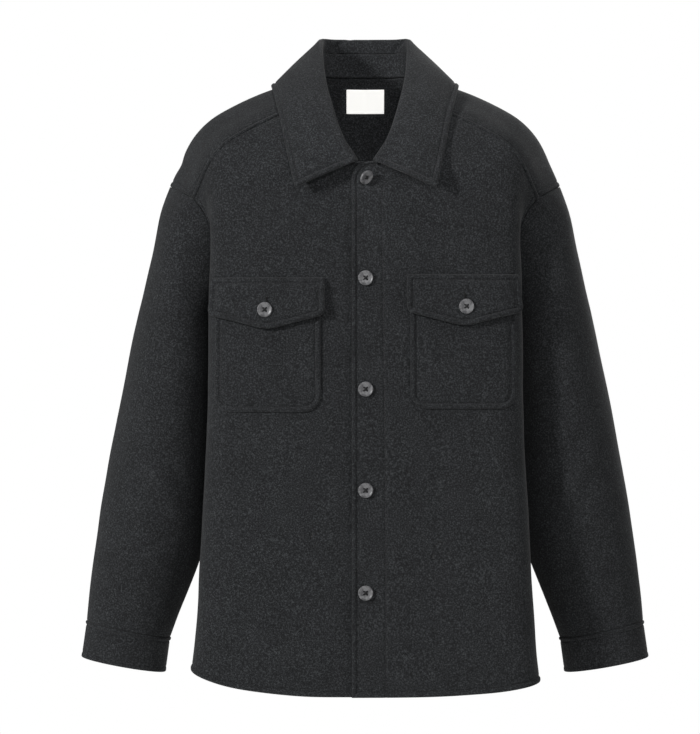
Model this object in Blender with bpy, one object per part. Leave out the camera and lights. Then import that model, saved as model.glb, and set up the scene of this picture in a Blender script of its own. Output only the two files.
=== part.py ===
"""Men's wool shacket (overshirt), filled out as if worn: every cut piece is a thin cloth wall.

Frame: metres, +Z up, front of the garment towards -Y, wearer's left towards +X.
The origin lies between the two neck points of the shoulders, where the garment is held up.

The body is one family of rows. A row starts at the inner edge (front edge, neckline or
centre back) and ends at the outer edge (side seam or armhole). The rows climb from the
front hem over the shoulder and go down to the back hem. Panels are runs of these rows.
"""

import math
from collections import namedtuple

import bmesh
import bpy
from mathutils import Vector
from mathutils.bvhtree import BVHTree

# Cloth and seams
WALL = 0.0022            # brushed wool, one ply with its turnings
COLLAR_WALL = 0.0028     # two plies and interlining
SEAM_GAP = 0.0003        # left between pieces that are sewn together
LAY_GAP = 0.0012         # left under a ply that only lies on another

# Body
HEM_Z = -0.765
SIDE_RISE = {"left": 0.020, "right": 0.038}   # how far the hem climbs to each side seam
CORNER_SHARE = 0.7       # share of that climb reached at the front corner
LAP = 0.0165             # each front reaches this far past the middle
LAP_FLAT = 0.024         # the under front lies deep up to here
LAP_BLEND = 0.030        # and comes up over this width
LAP_DEPTH = 0.0037       # depth of the under front behind the upper one
RIDGE_WIDTH = 0.007      # lapped and topstitched seam
RIDGE_HEIGHT = 0.0010
RIDGE_TOP = 0.8          # share of a ridge or rim that is at its full height
RIDGE_EDGE = 0.8         # share of that height at the folded edge
RIDGE_MOST = 0.8         # most of a body cell that a ridge takes

# Pockets, sizes along the cloth
FLAP_TOP_Z = {"left": -0.2565, "right": -0.2605}
POCKET_MIDDLE = 0.1235   # from the middle of the front
FLAP_WIDTH = 0.146
FLAP_SIDE_DROP = 0.041
FLAP_POINT_DROP = 0.061
FLAP_CORNER = 0.009
FLAP_CURVE = 0.85        # under 1, the lower edge bows out between side and point
FLAP_STAND = 0.0022      # how far the free edge stands off
BAG_WIDTH = 0.133
BAG_BELOW_TOP = 0.016    # upper edge of the bag, hidden under the flap
BAG_DEPTH = 0.146
BAG_LEVELS = (0.42, 0.70, 1.0)             # rows above the lower corners, shares of the depth
CORNER_LEVELS = (0.0, 0.10, 0.35, 1.0)     # rows round a lower corner, shares of its radius
BAG_CORNER = 0.021
FLAP_BUTTON_DROP = 0.039
FLAP_ROWS = 9
FLAP_FOLD = 0.0128       # from the top, the flap has come up over the bag's edge here
FLAP_BELLY = 0.6         # share of its drop of the row between fold and rim
PATCH_WALL = 0.0015      # the bag is one ply without turnings
PATCH_COLUMNS = (-0.4, 0.1, 0.4, 0.55, 0.7, 0.82)         # shares of half the width, closer at the side
FLAP_COLUMNS = (-0.6, -0.3, 0.0, 0.3, 0.48, 0.6, 0.7, 0.8)

# Buttons
BUTTON_RADIUS = 0.0090
BUTTON_THICK = 0.0034
BUTTON_SIDE = 0.35       # share of the thickness where the rounded side is widest
BUTTON_RIM = 0.0016
BUTTON_DISH = 0.0008
BUTTON_STEPS = 16
PLACKET_BUTTON_Z = (-0.1395, -0.2610, -0.3945, -0.5160, -0.6390)
TOP_BUTTON_LEAN = 36     # degrees; its loose thread lets the top button tip over
TOP_BUTTON_WAY = (0.7, 0.0, -0.7)   # it faces down and towards the wearer's left

# Label inside the back neck
LABEL_SIZE = (0.050, 0.031)
LABEL_THICK = 0.0010
LABEL_GAP = 0.0014       # from the yoke's inner face
LABEL_STEPS = (6, 3)     # quads across and down
LABEL_MIDDLE_Z = -0.0265

# Colours, linear
WOOL = (0.026, 0.027, 0.029)
BUTTON_GREY = (0.16, 0.16, 0.165)
LABEL_WHITE = (0.80, 0.80, 0.79)

# Body rows. i: inner end, c: the corner that the row would turn at if it were sharp,
# o: outer end. crown_y, crown_z: bulge of the run between i and c. bend: length of the
# rounding on each side of the corner. rise: share of the hem's climb. ease: curve of it.
BodyRow = namedtuple("BodyRow", "name ix iy iz cx cy cz ox oy oz crown_y crown_z bend rise ease")
BODY_ROWS = [BodyRow(*row) for row in (
    ("front hem", -LAP, -.122, HEM_Z, .2165, -.114, HEM_Z, .202, .000, HEM_Z, -.003, 0, .045, 1, 3),
    ("low front", -LAP, -.122, -.670, .2115, -.113, -.668, .190, .000, -.665, -.003, 0, .045, 0, 1),
    ("waist", -LAP, -.121, -.570, .2075, -.112, -.570, .182, .000, -.570, -.003, 0, .045, 0, 1),
    ("ribs", -LAP, -.120, -.440, .2000, -.110, -.440, .178, .000, -.440, -.003, 0, .045, 0, 1),
    ("underarm", -LAP, -.119, -.330, .1975, -.107, -.332, .179, .000, -.333, -.003, 0, .043, 0, 1),
    ("chest", -LAP, -.117, -.250, .1965, -.104, -.262, .185, -.046, -.272, -.003, 0, .040, 0, 1),
    ("breast", -LAP, -.112, -.185, .1930, -.101, -.212, .1872, -.057, -.215, -.003, 0, .036, 0, 1),
    ("top button", -LAP, -.1075, -.150, .1905, -.100, -.176, .1885, -.0585, -.203, -.003, 0, .034, 0, 1),
    ("front corner", -.0125, -.1055, -.1275, .1885, -.099, -.161, .191, -.060, -.192, -.003, 0, .034, 0, 1),
    ("front top", .003, -.1048, -.1200, .188, -.0985, -.155, .1928, -.060, -.188, -.003, 0, .034, 0, 1),
    ("collar end", .0125, -.1055, -.1205, .187, -.098, -.150, .1945, -.060, -.184, -.003, 0, .034, 0, 1),
    ("low neck", .0275, -.102, -.1085, .1855, -.097, -.139, .198, -.060, -.178, -.003, .001, .034, 0, 1),
    ("neck", .0415, -.090, -.087, .184, -.096, -.128, .2015, -.060, -.173, -.002, .001, .034, 0, 1),
    ("high neck", .0545, -.068, -.060, .1822, -.0942, -.1145, .2055, -.059, -.168, -.002, .002, .034, 0, 1),
    ("front seam", .0615, -.045, -.039, .181, -.092, -.102, .2095, -.058, -.163, -.001, .002, .035, 0, 1),
    ("before ridge", .0665, -.018, -.018, .196, -.055, -.083, .2265, -.036, -.152, 0, .004, .040, 0, 1),
    ("ridge", .068, .008, -.005, .209, .000, -.066, .243, .003, -.143, 0, .005, .040, 0, 1),
    ("behind ridge", .0668, .040, .000, .204, .050, -.075, .2335, .030, -.148, 0, .004, .045, 0, 1),
    ("side neck", .056, .070, .001, .196, .080, -.090, .2245, .046, -.154, .001, .003, .050, 0, 1),
    ("half neck", .030, .086, .0012, .191, .094, -.103, .218, .054, -.159, .002, .003, .050, 0, 1),
    ("back neck", .000, .0895, .0012, .188, .101, -.115, .2135, .059, -.164, .003, .002, .050, 0, 1),
    ("mid yoke", .000, .1075, -.060, .186, .107, -.132, .210, .062, -.168, .003, 0, .055, 0, 1.5),
    ("back seam", .000, .118, -.125, .185, .110, -.150, .2065, .064, -.174, .002, 0, .060, 0, 2),
    ("blades", .000, .122, -.190, .185, .115, -.202, .192, .0625, -.205, .001, 0, .065, 0, 2),
    ("back armhole", .000, .124, -.260, .187, .117, -.266, .185, .048, -.272, .001, 0, .070, 0, 2),
    ("back underarm", .000, .124, -.333, .190, .118, -.333, .179, .000, -.333, .001, 0, .070, 0, 2),
    ("back ribs", .000, .122, -.440, .191, .117, -.440, .178, .000, -.440, .001, 0, .070, 0, 2),
    ("back waist", .000, .121, -.570, .197, .117, -.570, .182, .000, -.570, .001, 0, .070, 0, 2),
    ("low back", .000, .122, -.670, .201, .118, -.668, .190, .000, -.665, .001, 0, .070, 0, 2),
    ("back hem", .000, .124, HEM_Z, .205, .120, HEM_Z, .202, .000, HEM_Z, .001, 0, .070, 1, 3),
)]
ROW = {row.name: index for index, row in enumerate(BODY_ROWS)}
RUN_STEPS = 5            # quads from the inner end to the corner
BEND_STEPS = 4           # quads round the corner
TAIL_STEPS = 2           # quads from the corner to the outer end
BEND_MOST = (0.45, 0.85) # most of the run and of the tail that the rounding takes

# Sleeve rings below the armhole: outermost and innermost point and the depths
Ring = namedtuple("Ring", "out_x out_z in_x in_z front_y back_y")
SLEEVE_RINGS = [Ring(*ring) for ring in (
    (.2535, -.172, .1828, -.346, -.063, .068),
    (.2625, -.212, .1836, -.358, -.0665, .074),
    (.2730, -.257, .1842, -.375, -.0680, .080),
    (.2870, -.320, .1850, -.408, -.0680, .084),
    (.3010, -.390, .1858, -.452, -.0670, .084),
    (.3145, -.458, .1872, -.502, -.0640, .080),
    (.3265, -.523, .1905, -.550, -.0590, .073),
    (.3365, -.590, .2060, -.610, -.0510, .063),
    (.3430, -.640, .2250, -.657, -.0430, .053),
    (.3470, -.6834, .2430, -.7046, -.0370, .046),
)]
UNDERARM_CLEAR = (0.0014, 0.0010, 0.0040)   # from the body at the first ring, more per ring, most
CUFF_END = Ring(.3536, -.7291, .2489, -.7480, -.0320, .040)
CUFF_WALL = 0.0028

# Collar stations, one for each body row of the neckline.
# f: fold line as it is seen, e: outer edge of the leaf.
Station = namedtuple("Station", "row fx fy fz ex ey ez")
END_SHIFT = 0.25         # the collar starts this share of a row past the top of the front
COLLAR = [Station(*station) for station in (
    ("collar end", .0130, -.0985, -.1140, .0845, -.1215, -.1530),
    ("low neck", .0223, -.0960, -.0985, .0895, -.1130, -.1310),
    ("neck", .0333, -.0820, -.0750, .0950, -.1020, -.1070),
    ("high neck", .0421, -.0550, -.0450, .1010, -.0780, -.0800),
    ("front seam", .0456, -.0370, -.0280, .1050, -.0600, -.0640),
    ("before ridge", .0490, -.0120, -.0060, .1100, -.0350, -.0410),
    ("ridge", .0510, .0200, .0190, .1155, .0010, -.0200),
    ("behind ridge", .0515, .0550, .0410, .1140, .0430, -.0180),
    ("side neck", .0470, .0800, .0510, .0980, .0790, -.0220),
    ("half neck", .0260, .0910, .0525, .0550, .1000, -.0280),
    ("back neck", .0000, .0930, .0525, .0000, .1050, -.0320),
)]
EDGE_REACH = 0.0010      # a point this far past an edge of the body doesn't lie on it
STAND_SHARE = 0.68       # share of the way to the roll where stand and leaf are joined
JOINT = 2                # point of a collar line where stand and leaf are joined
ROLL_RADIUS = 0.0018     # inside of the fold
ROLL_STEPS = 4
LEAF_LIFT = 0.0022       # the leaf lies this far off the shoulders
LEAF_BULGE = 0.0040      # and springs out between fold and edge
LEAF_STEPS = 5           # quads from the fold to the rim of the leaf
RIM_WIDTH = 0.007
RIM_HEIGHT = 0.0008
RIM_ROUND = 0.0015
RIM_FOOT = 1.15          # a leaf's rim has come down at this many widths from its edge
RIM_STATIONS = (0.07, 0.30, 0.37, 0.68)   # lines added for the rim, shares of the first interval


# Curves

def steady(values, place):
    """Monotone cubic through evenly spaced values, so that nothing overshoots."""
    last = len(values) - 1
    low = min(int(place), last - 1)
    t = place - low

    def slope(index):
        if index == 0 or index == last:
            return 0.0
        before = values[index] - values[index - 1]
        after = values[index + 1] - values[index]
        if before * after <= 0:
            return 0.0
        return 2 * before * after / (before + after)

    a, b = values[low], values[low + 1]
    h = t * t * (3 - 2 * t)
    return (a + (b - a) * h + slope(low) * t * (1 - t) ** 2 - slope(low + 1) * t * t * (1 - t))


def smooth(t):
    t = min(max(t, 0.0), 1.0)
    return t * t * (3 - 2 * t)


COLUMNS = [[getattr(row, field) for row in BODY_ROWS] for field in BodyRow._fields[1:]]


def body_row(place, side):
    """Points of one row of the body's outer face, inner end first."""
    row = BodyRow("", *[steady(column, place) for column in COLUMNS])
    climb = SIDE_RISE[side] * row.rise
    inner = Vector((row.ix, row.iy, row.iz))
    corner = Vector((row.cx, row.cy, row.cz + climb * CORNER_SHARE))
    outer = Vector((row.ox, row.oy, row.oz + climb))
    run, tail = corner - inner, outer - corner
    bend_in = min(row.bend, run.length * BEND_MOST[0])
    bend_out = min(row.bend, tail.length * BEND_MOST[1])
    share = 1 - bend_in / run.length
    crown = Vector((0, row.crown_y, row.crown_z))

    def on_run(t):
        # the crown is a hump that peaks at 1 / 16 before it is scaled
        eased = t ** row.ease
        straight = Vector((run.x * t, run.y * (eased if row.rise < 1 else t), run.z * eased))
        return inner + straight + crown * (16 * t * t * (1 - t) ** 2)

    points = [on_run(share * step / RUN_STEPS) for step in range(RUN_STEPS + 1)]
    start, end = points[-1], corner + tail.normalized() * bend_out
    for step in range(1, BEND_STEPS + 1):
        t = step / BEND_STEPS
        points.append(start * (1 - t) ** 2 + corner * (2 * t * (1 - t)) + end * t * t)
    for step in range(1, TAIL_STEPS + 1):
        points.append(end.lerp(outer, step / TAIL_STEPS))
    return points


def grid_normals(grid, closed=False):
    """Outward normals of a grid whose rows and columns turn like the body's."""
    rows, cols = len(grid), len(grid[0])
    normals = []
    for r in range(rows):
        line = []
        for c in range(cols):
            along = grid[min(r + 1, rows - 1)][c] - grid[max(r - 1, 0)][c]
            if closed and c in (0, cols - 1):
                across = grid[r][1] - grid[r][cols - 2]
            else:
                across = grid[r][min(c + 1, cols - 1)] - grid[r][max(c - 1, 0)]
            line.append(across.cross(along).normalized())
        normals.append(line)
    return normals


def mirrored(grid):
    return [[Vector((-p.x, p.y, p.z)) for p in line] for line in grid]


def offset(grid, normals, amount):
    """The grid moved along its normals by one amount, or by one amount for each point."""
    moved = []
    for r, line in enumerate(grid):
        each = [amount[r][c] if isinstance(amount, list) else amount for c in range(len(line))]
        moved.append([p + normals[r][c] * each[c] for c, p in enumerate(line)])
    return moved


def trimmed(grid, first_row=False, last_row=False, first_col=False, last_col=False):
    """Half a seam gap taken off the named edges of a grid."""
    cut = [list(line) for line in grid]
    half = SEAM_GAP / 2

    def pull(edge, towards):
        return edge + (towards - edge).normalized() * half

    for c in range(len(grid[0])):
        if first_row:
            cut[0][c] = pull(grid[0][c], grid[1][c])
        if last_row:
            cut[-1][c] = pull(grid[-1][c], grid[-2][c])
    for r in range(len(grid)):
        if first_col:
            cut[r][0] = pull(cut[r][0], cut[r][1])
        if last_col:
            cut[r][-1] = pull(cut[r][-1], cut[r][-2])
    return cut


# Solids

def material(name, colour, roughness):
    made = bpy.data.materials.new(name)
    made.use_nodes = True
    shader = made.node_tree.nodes["Principled BSDF"]
    shader.inputs["Base Color"].default_value = (*colour, 1)
    shader.inputs["Roughness"].default_value = roughness
    shader.inputs["Metallic"].default_value = 0
    return made


def sheet_solid(name, patches, look):
    """A closed wall from pairs of grids, its outer and inner face, welded where they meet."""
    places, over, under, quads = {}, [], [], []
    for upper, lower in patches:
        ids = []
        for r, line in enumerate(upper):
            ids.append([])
            for c, point in enumerate(line):
                key = tuple(round(value, 6) for value in point)
                if key not in places:
                    places[key] = len(over)
                    over.append(point)
                    under.append(lower[r][c])
                ids[r].append(places[key])
        for r in range(len(ids) - 1):
            for c in range(len(ids[0]) - 1):
                quads.append((ids[r][c], ids[r][c + 1], ids[r + 1][c + 1], ids[r + 1][c]))
    mesh = bpy.data.meshes.new(name)
    bm = bmesh.new()
    top = [bm.verts.new(point) for point in over]
    bottom = [bm.verts.new(point) for point in under]
    for quad in quads:
        bm.faces.new([top[i] for i in quad])
    rim = [edge for edge in bm.edges if len(edge.link_faces) == 1]
    index = {vert: i for i, vert in enumerate(top)}
    rim = [(index[edge.verts[0]], index[edge.verts[1]]) for edge in rim]
    for quad in quads:
        bm.faces.new([bottom[i] for i in reversed(quad)])
    for a, b in rim:
        bm.faces.new((top[a], top[b], bottom[b], bottom[a]))
    bmesh.ops.recalc_face_normals(bm, faces=bm.faces)
    if bm.calc_volume(signed=True) < 0:
        bmesh.ops.reverse_faces(bm, faces=bm.faces)
    bmesh.ops.triangulate(bm, faces=bm.faces)
    bm.to_mesh(mesh)
    bm.free()
    mesh.shade_smooth()
    mesh.set_sharp_from_angle(angle=math.radians(50))
    return add_object(name, mesh, look)


def add_object(name, mesh, look):
    made = bpy.data.objects.new(name, mesh)
    made.data.materials.append(look)
    GARMENT.objects.link(made)
    return made


# Body panels

def halves(spread):
    """Row places between two named rows, each interval cut into so many steps."""
    places = []
    for name, steps in spread:
        places += [ROW[name] + step / steps for step in range(steps)]
    return places


FRONT_PLACES = halves((("front hem", 2), ("low front", 2), ("waist", 2), ("ribs", 2),
                       ("underarm", 2), ("chest", 2), ("breast", 1), ("top button", 1),
                       ("front corner", 1), ("front top", 1), ("collar end", 1), ("low neck", 1), ("neck", 1),
                       ("high neck", 1)))
YOKE_PLACES = halves((("front seam", 2), ("before ridge", 2), ("ridge", 2), ("behind ridge", 1),
                      ("side neck", 2), ("half neck", 1), ("back neck", 1), ("mid yoke", 1)))
BACK_PLACES = halves((("back seam", 1), ("blades", 2), ("back armhole", 2), ("back underarm", 2),
                      ("back ribs", 2), ("back waist", 2), ("low back", 2))) + [ROW["back hem"]]


class Half:
    """One half of the body: its outer face, normals and the places of its panels."""

    def __init__(self, side):
        self.side = side
        self.places = FRONT_PLACES + YOKE_PLACES + BACK_PLACES
        self.grid = [body_row(place, side) for place in self.places]
        self.normals = grid_normals(self.grid)
        for r, line in enumerate(self.grid):
            if abs(line[0].x) < 1e-6 and self.places[r] >= ROW["back neck"]:
                self.normals[r][0].x = 0
                self.normals[r][0].normalize()
        self.seam = self.places.index(ROW["front seam"])
        self.back = self.places.index(ROW["back seam"])

    def part(self, first, last):
        return self.grid[first:last + 1], self.normals[first:last + 1]

    def armhole(self):
        """Edge points, normals and outward directions, from the underarm by the front."""
        first = self.places.index(ROW["underarm"])
        last = self.places.index(ROW["back underarm"])
        picked = list(range(first, last))
        points = [self.grid[r][-1] for r in picked]
        normals = [self.normals[r][-1] for r in picked]
        inner = [self.grid[r][-2] for r in picked]
        return points, normals, inner


def lap_under(grid, normals):
    """The under front: its edge lies behind the upper front and comes up beside it."""
    lowered = []
    for r, line in enumerate(grid):
        lowered.append([])
        for c, point in enumerate(line):
            depth = LAP_DEPTH * (1 - smooth((point.x - LAP_FLAT) / LAP_BLEND))
            lowered[r].append(point - normals[r][c] * depth)
    return lowered


def to_side(grid, side):
    return grid if side == "left" else mirrored(grid)


def make_fronts(half_of, look):
    for side, half in half_of.items():
        grid, normals = half.part(0, half.seam)
        grid = trimmed(grid, last_row=True, last_col=True)
        if side == "right":
            grid = lap_under(grid, normals)
        under = offset(grid, normals, -WALL)
        sheet_solid("front_" + side, [(to_side(grid, side), to_side(under, side))], look)


def ridge_rows(grid, normals):
    """The yoke with rows that carry the lapped ridge along its front seam."""
    cols = len(grid[0])
    at = [min(RIDGE_WIDTH / (grid[1][c] - grid[0][c]).length, RIDGE_MOST) for c in range(cols)]
    top = [grid[0][c].lerp(grid[1][c], at[c] * RIDGE_TOP) for c in range(cols)]
    foot = [grid[0][c].lerp(grid[1][c], at[c]) for c in range(cols)]
    mids = [normals[0][c].lerp(normals[1][c], at[c]).normalized() for c in range(cols)]
    levels = [RIDGE_HEIGHT * RIDGE_EDGE, RIDGE_HEIGHT] + [0.0] * len(grid)
    heights = [[level] * cols for level in levels]
    return [grid[0], top, foot] + grid[1:], [normals[0], mids, mids] + normals[1:], heights


def make_yoke(half_of, look):
    patches = []
    for side, half in half_of.items():
        grid, normals = half.part(half.seam, half.back)
        grid, normals, heights = ridge_rows(grid, normals)
        grid = trimmed(grid, first_row=True, last_row=True, last_col=True)
        over = offset(grid, normals, heights)
        under = offset(grid, normals, -WALL)
        patches.append((to_side(over, side), to_side(under, side)))
    sheet_solid("yoke", patches, look)


def make_back(half_of, look):
    patches = []
    for side, half in half_of.items():
        grid, normals = half.part(half.back, len(half.places) - 1)
        grid = trimmed(grid, first_row=True, last_col=True)
        under = offset(grid, normals, -WALL)
        patches.append((to_side(grid, side), to_side(under, side)))
    sheet_solid("back", patches, look)


# Sleeves and cuffs

def ring_point(ring, angle):
    """A point of a sleeve ring. Angle 0 is the outermost point, 90 degrees the back."""
    outer = Vector((ring.out_x, 0, ring.out_z))
    inner = Vector((ring.in_x, 0, ring.in_z))
    middle = (outer + inner) / 2
    middle.y = (ring.front_y + ring.back_y) / 2
    depth = (ring.back_y - ring.front_y) / 2
    point = middle + (outer - inner) / 2 * math.cos(angle)
    point.y += depth * math.sin(angle)
    return point


def ring_angles(points, top):
    """Angle of each armhole point, by its share of the way from the underarm to the top."""
    lengths = [0.0]
    for a, b in zip(points, points[1:] + points[:1]):
        lengths.append(lengths[-1] + (b - a).length)
    angles = []
    for index in range(len(points)):
        if index <= top:
            angles.append(math.pi * (1 + lengths[index] / lengths[top]))
        else:
            share = (lengths[index] - lengths[top]) / (lengths[-1] - lengths[top])
            angles.append(math.pi * (2 + share))
    return angles


def sewn_start(point, normal, hint, ahead, towards, wall):
    """Where the outer face of a piece starts that is sewn to an edge and turns off there.

    The hint is any direction that leaves the panel through this edge. A piece that turns
    outwards hinges on the panel's outer corner, and one that turns inwards on its inner one.
    """
    edge = (ahead - point).normalized()
    out = edge.cross(normal).normalized()
    if out.dot(hint) < 0:
        out.negate()
    way = towards - point
    turn = math.atan2(way.dot(normal), way.dot(out))
    if turn < -math.pi / 2:
        turn = math.pi
    gap = (out * math.cos(turn / 2) + normal * math.sin(turn / 2)) * SEAM_GAP
    if turn >= 0:
        return point + gap
    return point + gap - normal * WALL + (normal * math.cos(turn) - out * math.sin(turn)) * wall


def sleeve_grid(half):
    points, normals, inner = half.armhole()
    top = half.places.index(ROW["ridge"]) - half.places.index(ROW["underarm"])
    angles = ring_angles(points, top)
    tree = surface_tree({"left": half})
    rings = []
    for index, ring in enumerate(SLEEVE_RINGS):
        clear = min(UNDERARM_CLEAR[0] + index * UNDERARM_CLEAR[1], UNDERARM_CLEAR[2])
        rings.append([laid_on(tree, ring_point(ring, angle), clear) for angle in angles])
    first = []
    for i, point in enumerate(points):
        ahead = points[(i + 1) % len(points)]
        first.append(sewn_start(point, normals[i], point - inner[i], ahead, rings[0][i], WALL))
    grid = [first] + rings
    return [ring + ring[:1] for ring in grid], angles


def make_sleeves(half_of, look):
    for side, half in half_of.items():
        grid, angles = sleeve_grid(half)
        # rings run down the arm, so these normals point into the sleeve
        normals = grid_normals(grid, closed=True)
        grid = trimmed(grid, last_row=True)
        under = offset(grid, normals, WALL)
        sheet_solid("sleeve_" + side, [(to_side(grid, side), to_side(under, side))], look)
        end = [ring_point(CUFF_END, angle) for angle in angles]
        end.append(end[0])
        top = [ring_point(SLEEVE_RINGS[-1], angle) for angle in angles]
        top.append(top[0])
        middle = [a.lerp(b, 0.5) for a, b in zip(top, end)]
        cuff = trimmed([top, middle, end], first_row=True)
        cuff_normals = [normals[-1]] * 3
        under = offset(cuff, cuff_normals, CUFF_WALL)
        sheet_solid("cuff_" + side, [(to_side(cuff, side), to_side(under, side))], look)


# Collar

def surface_tree(half_of):
    """The whole outer face of the body, to lay other pieces on."""
    points, faces = [], []
    for side, half in half_of.items():
        grid = to_side(half.grid, side)
        base, cols = len(points), len(grid[0])
        for line in grid:
            points += line
        for r in range(len(grid) - 1):
            for c in range(cols - 1):
                a = base + r * cols + c
                quad = [a, a + 1, a + cols + 1, a + cols]
                faces.append(quad if side == "left" else quad[::-1])
    return BVHTree.FromPolygons(points, faces)


def laid_on(tree, point, lift):
    """The point, moved out if it is nearer than lift to the body."""
    near, normal, _, _ = tree.find_nearest(point)
    height = (point - near).dot(normal)
    beside = (point - near - normal * height).length
    if height >= lift or beside > EDGE_REACH:
        return point
    return point + normal * (lift - height)


def collar_lines(half, tree):
    """Under face of stand and leaf at each neckline row, from the neck seam to the edge."""
    lines = []
    first, last = ROW[COLLAR[0].row], ROW[COLLAR[-1].row]
    rows = [r for r, place in enumerate(half.places) if first <= place <= last]

    def station_at(r):
        place = min(max(half.places[r] - first, 0), last - first)
        return Station("", *[steady([getattr(row, field) for row in COLLAR], place)
                             for field in Station._fields[1:]])

    for r in rows:
        station = station_at(r)
        neck, normal = half.grid[r][0], half.normals[r][0]
        if r == rows[0]:
            neck = neck.lerp(half.grid[r + 1][0], END_SHIFT)
        fold = Vector((station.fx, station.fy, station.fz))
        edge = Vector((station.ex, station.ey, station.ez))
        up = (fold - neck).normalized()
        before, after = station_at(max(r - 1, rows[0])), station_at(min(r + 1, rows[-1]))
        along = Vector((after.fx - before.fx, after.fy - before.fy, after.fz - before.fz))
        if r == rows[-1]:
            along = Vector((-1, 0, 0))
        out = along.cross(up).normalized()
        crest = fold - up * COLLAR_WALL + out * COLLAR_WALL
        ahead = half.grid[r + 1][0] if r < rows[-1] else half.grid[r][0] + Vector((-1, 0, 0))
        start = sewn_start(neck, normal, crest - neck, ahead, crest, COLLAR_WALL)
        turn = crest - up * ROLL_RADIUS
        joint = start.lerp(turn, STAND_SHARE)
        line = [start, start.lerp(joint, 0.5), joint, turn]
        middle = turn + out * ROLL_RADIUS
        for step in range(1, ROLL_STEPS + 1):
            angle = math.pi * step / ROLL_STEPS
            line.append(middle - out * math.cos(angle) * ROLL_RADIUS + up * math.sin(angle) * ROLL_RADIUS)
        leave = line[-1]
        shoulder = tree.find_nearest(edge)[1]
        lie = laid_on(tree, edge - shoulder * COLLAR_WALL, LEAF_LIFT)
        length = (lie - leave).length
        rim_at = [1 - reach / length for reach in (RIM_WIDTH * RIM_FOOT, RIM_WIDTH, RIM_ROUND, 0)]
        spots = [rim_at[0] * step / LEAF_STEPS for step in range(1, LEAF_STEPS)] + rim_at
        for t in spots:
            bulge = out.lerp(shoulder, t) * (LEAF_BULGE * math.sin(math.pi * t))
            line.append(laid_on(tree, leave.lerp(lie, t) + bulge, LEAF_LIFT))
        lines.append(line)
    for point in lines[-1]:
        point.x = 0
    return lines


def between(a, b, t):
    return [p.lerp(q, t) for p, q in zip(a, b)]


def make_collar(half_of, look):
    lines = collar_lines(half_of["left"], surface_tree(half_of))
    # more lines carry the stitched rim along the front edge of the leaf
    rim = [between(lines[0], lines[1], t) for t in RIM_STATIONS]
    lines = [lines[0]] + rim + lines[1:]
    # the lines run up the inside of the neck, so the wall lies on their other face
    normals = grid_normals(lines)
    normals[-1] = [Vector((0, n.y, n.z)).normalized() for n in normals[-1]]
    for name, first, last in (("collar_stand", 0, JOINT), ("collar_leaf", JOINT, len(lines[0]) - 1)):
        leaf = name == "collar_leaf"
        piece = trimmed([line[first:last + 1] for line in lines], first_col=leaf, last_col=not leaf)
        own = [line[first:last + 1] for line in normals]
        thick = [[COLLAR_WALL] * len(line) for line in piece]
        if leaf:
            for r, line in enumerate(piece):
                for c in range(2, len(line)):
                    if c in (len(line) - 2, len(line) - 3) or r in (1, 2):
                        thick[r][c] += RIM_HEIGHT
        over = offset(piece, own, thick)
        sheet_solid(name, [(over, piece), (mirrored(over), mirrored(piece))], look)


# Pieces that lie on a front

HALVINGS = 22            # steps of a search for a height
NEAR = 0.004             # a spot's normal is taken over this distance


def front_spot(half, along, height):
    """Point and normal of the front at a distance from the middle and a height."""
    def find(distance, level):
        low, high = 0.0, float(ROW["breast"])
        for _ in range(HALVINGS):
            place = (low + high) / 2
            point = on_row(place, distance)
            if point.z < level:
                low = place
            else:
                high = place
        return point

    def on_row(place, distance):
        points = body_row(place, half.side)
        left = distance + LAP
        for a, b in zip(points, points[1:]):
            step = (b - a).length
            if left <= step:
                return a.lerp(b, left / step)
            left -= step
        return points[-1]

    point = find(along, height)
    across = find(along + NEAR, height) - find(along - NEAR, height)
    up = find(along, height + NEAR) - find(along, height - NEAR)
    return point, across.cross(up).normalized()


def lay_patch(half, spots, lifts, heights):
    """Two faces of a patch from its spots on the front and its distances from it."""
    tree = surface_tree({"left": half})
    over, under = [], []
    for r, line in enumerate(spots):
        over.append([])
        under.append([])
        for c, (along, level) in enumerate(line):
            point, normal = front_spot(half, along, level)
            under[r].append(laid_on(tree, point + normal * lifts[r][c], lifts[r][c]))
            over[r].append(under[r][c] + normal * heights[r][c])
    return over, under


def bag_spots(top_z):
    """Outline and stitched rim of a patch pocket, as rows from the bottom up."""
    half_width, corner = BAG_WIDTH / 2, BAG_CORNER
    levels = [corner * share for share in CORNER_LEVELS] + [BAG_DEPTH * share for share in BAG_LEVELS]
    spots, raised = [], []
    for level in levels:
        inward = 0.0
        if level < corner:
            inward = corner - math.sqrt(corner ** 2 - (corner - level) ** 2)
        reach = half_width - inward
        sides = [reach, reach - RIM_ROUND, reach - RIM_WIDTH * RIDGE_TOP, reach - RIM_WIDTH]
        across = [-value for value in sides] + [reach * share for share in PATCH_COLUMNS] + sides[::-1]
        spots.append([(POCKET_MIDDLE + value, top_z - BAG_DEPTH + level) for value in across])
        rim_here = level < corner / 2
        last = len(across) - 1
        on_rim = (1, 2, last - 2, last - 1)
        raised.append([RIM_HEIGHT if rim_here or c in on_rim else 0.0 for c in range(last + 1)])
    raised[0] = [RIM_HEIGHT / 2] * len(raised[0])
    return spots, raised


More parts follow.
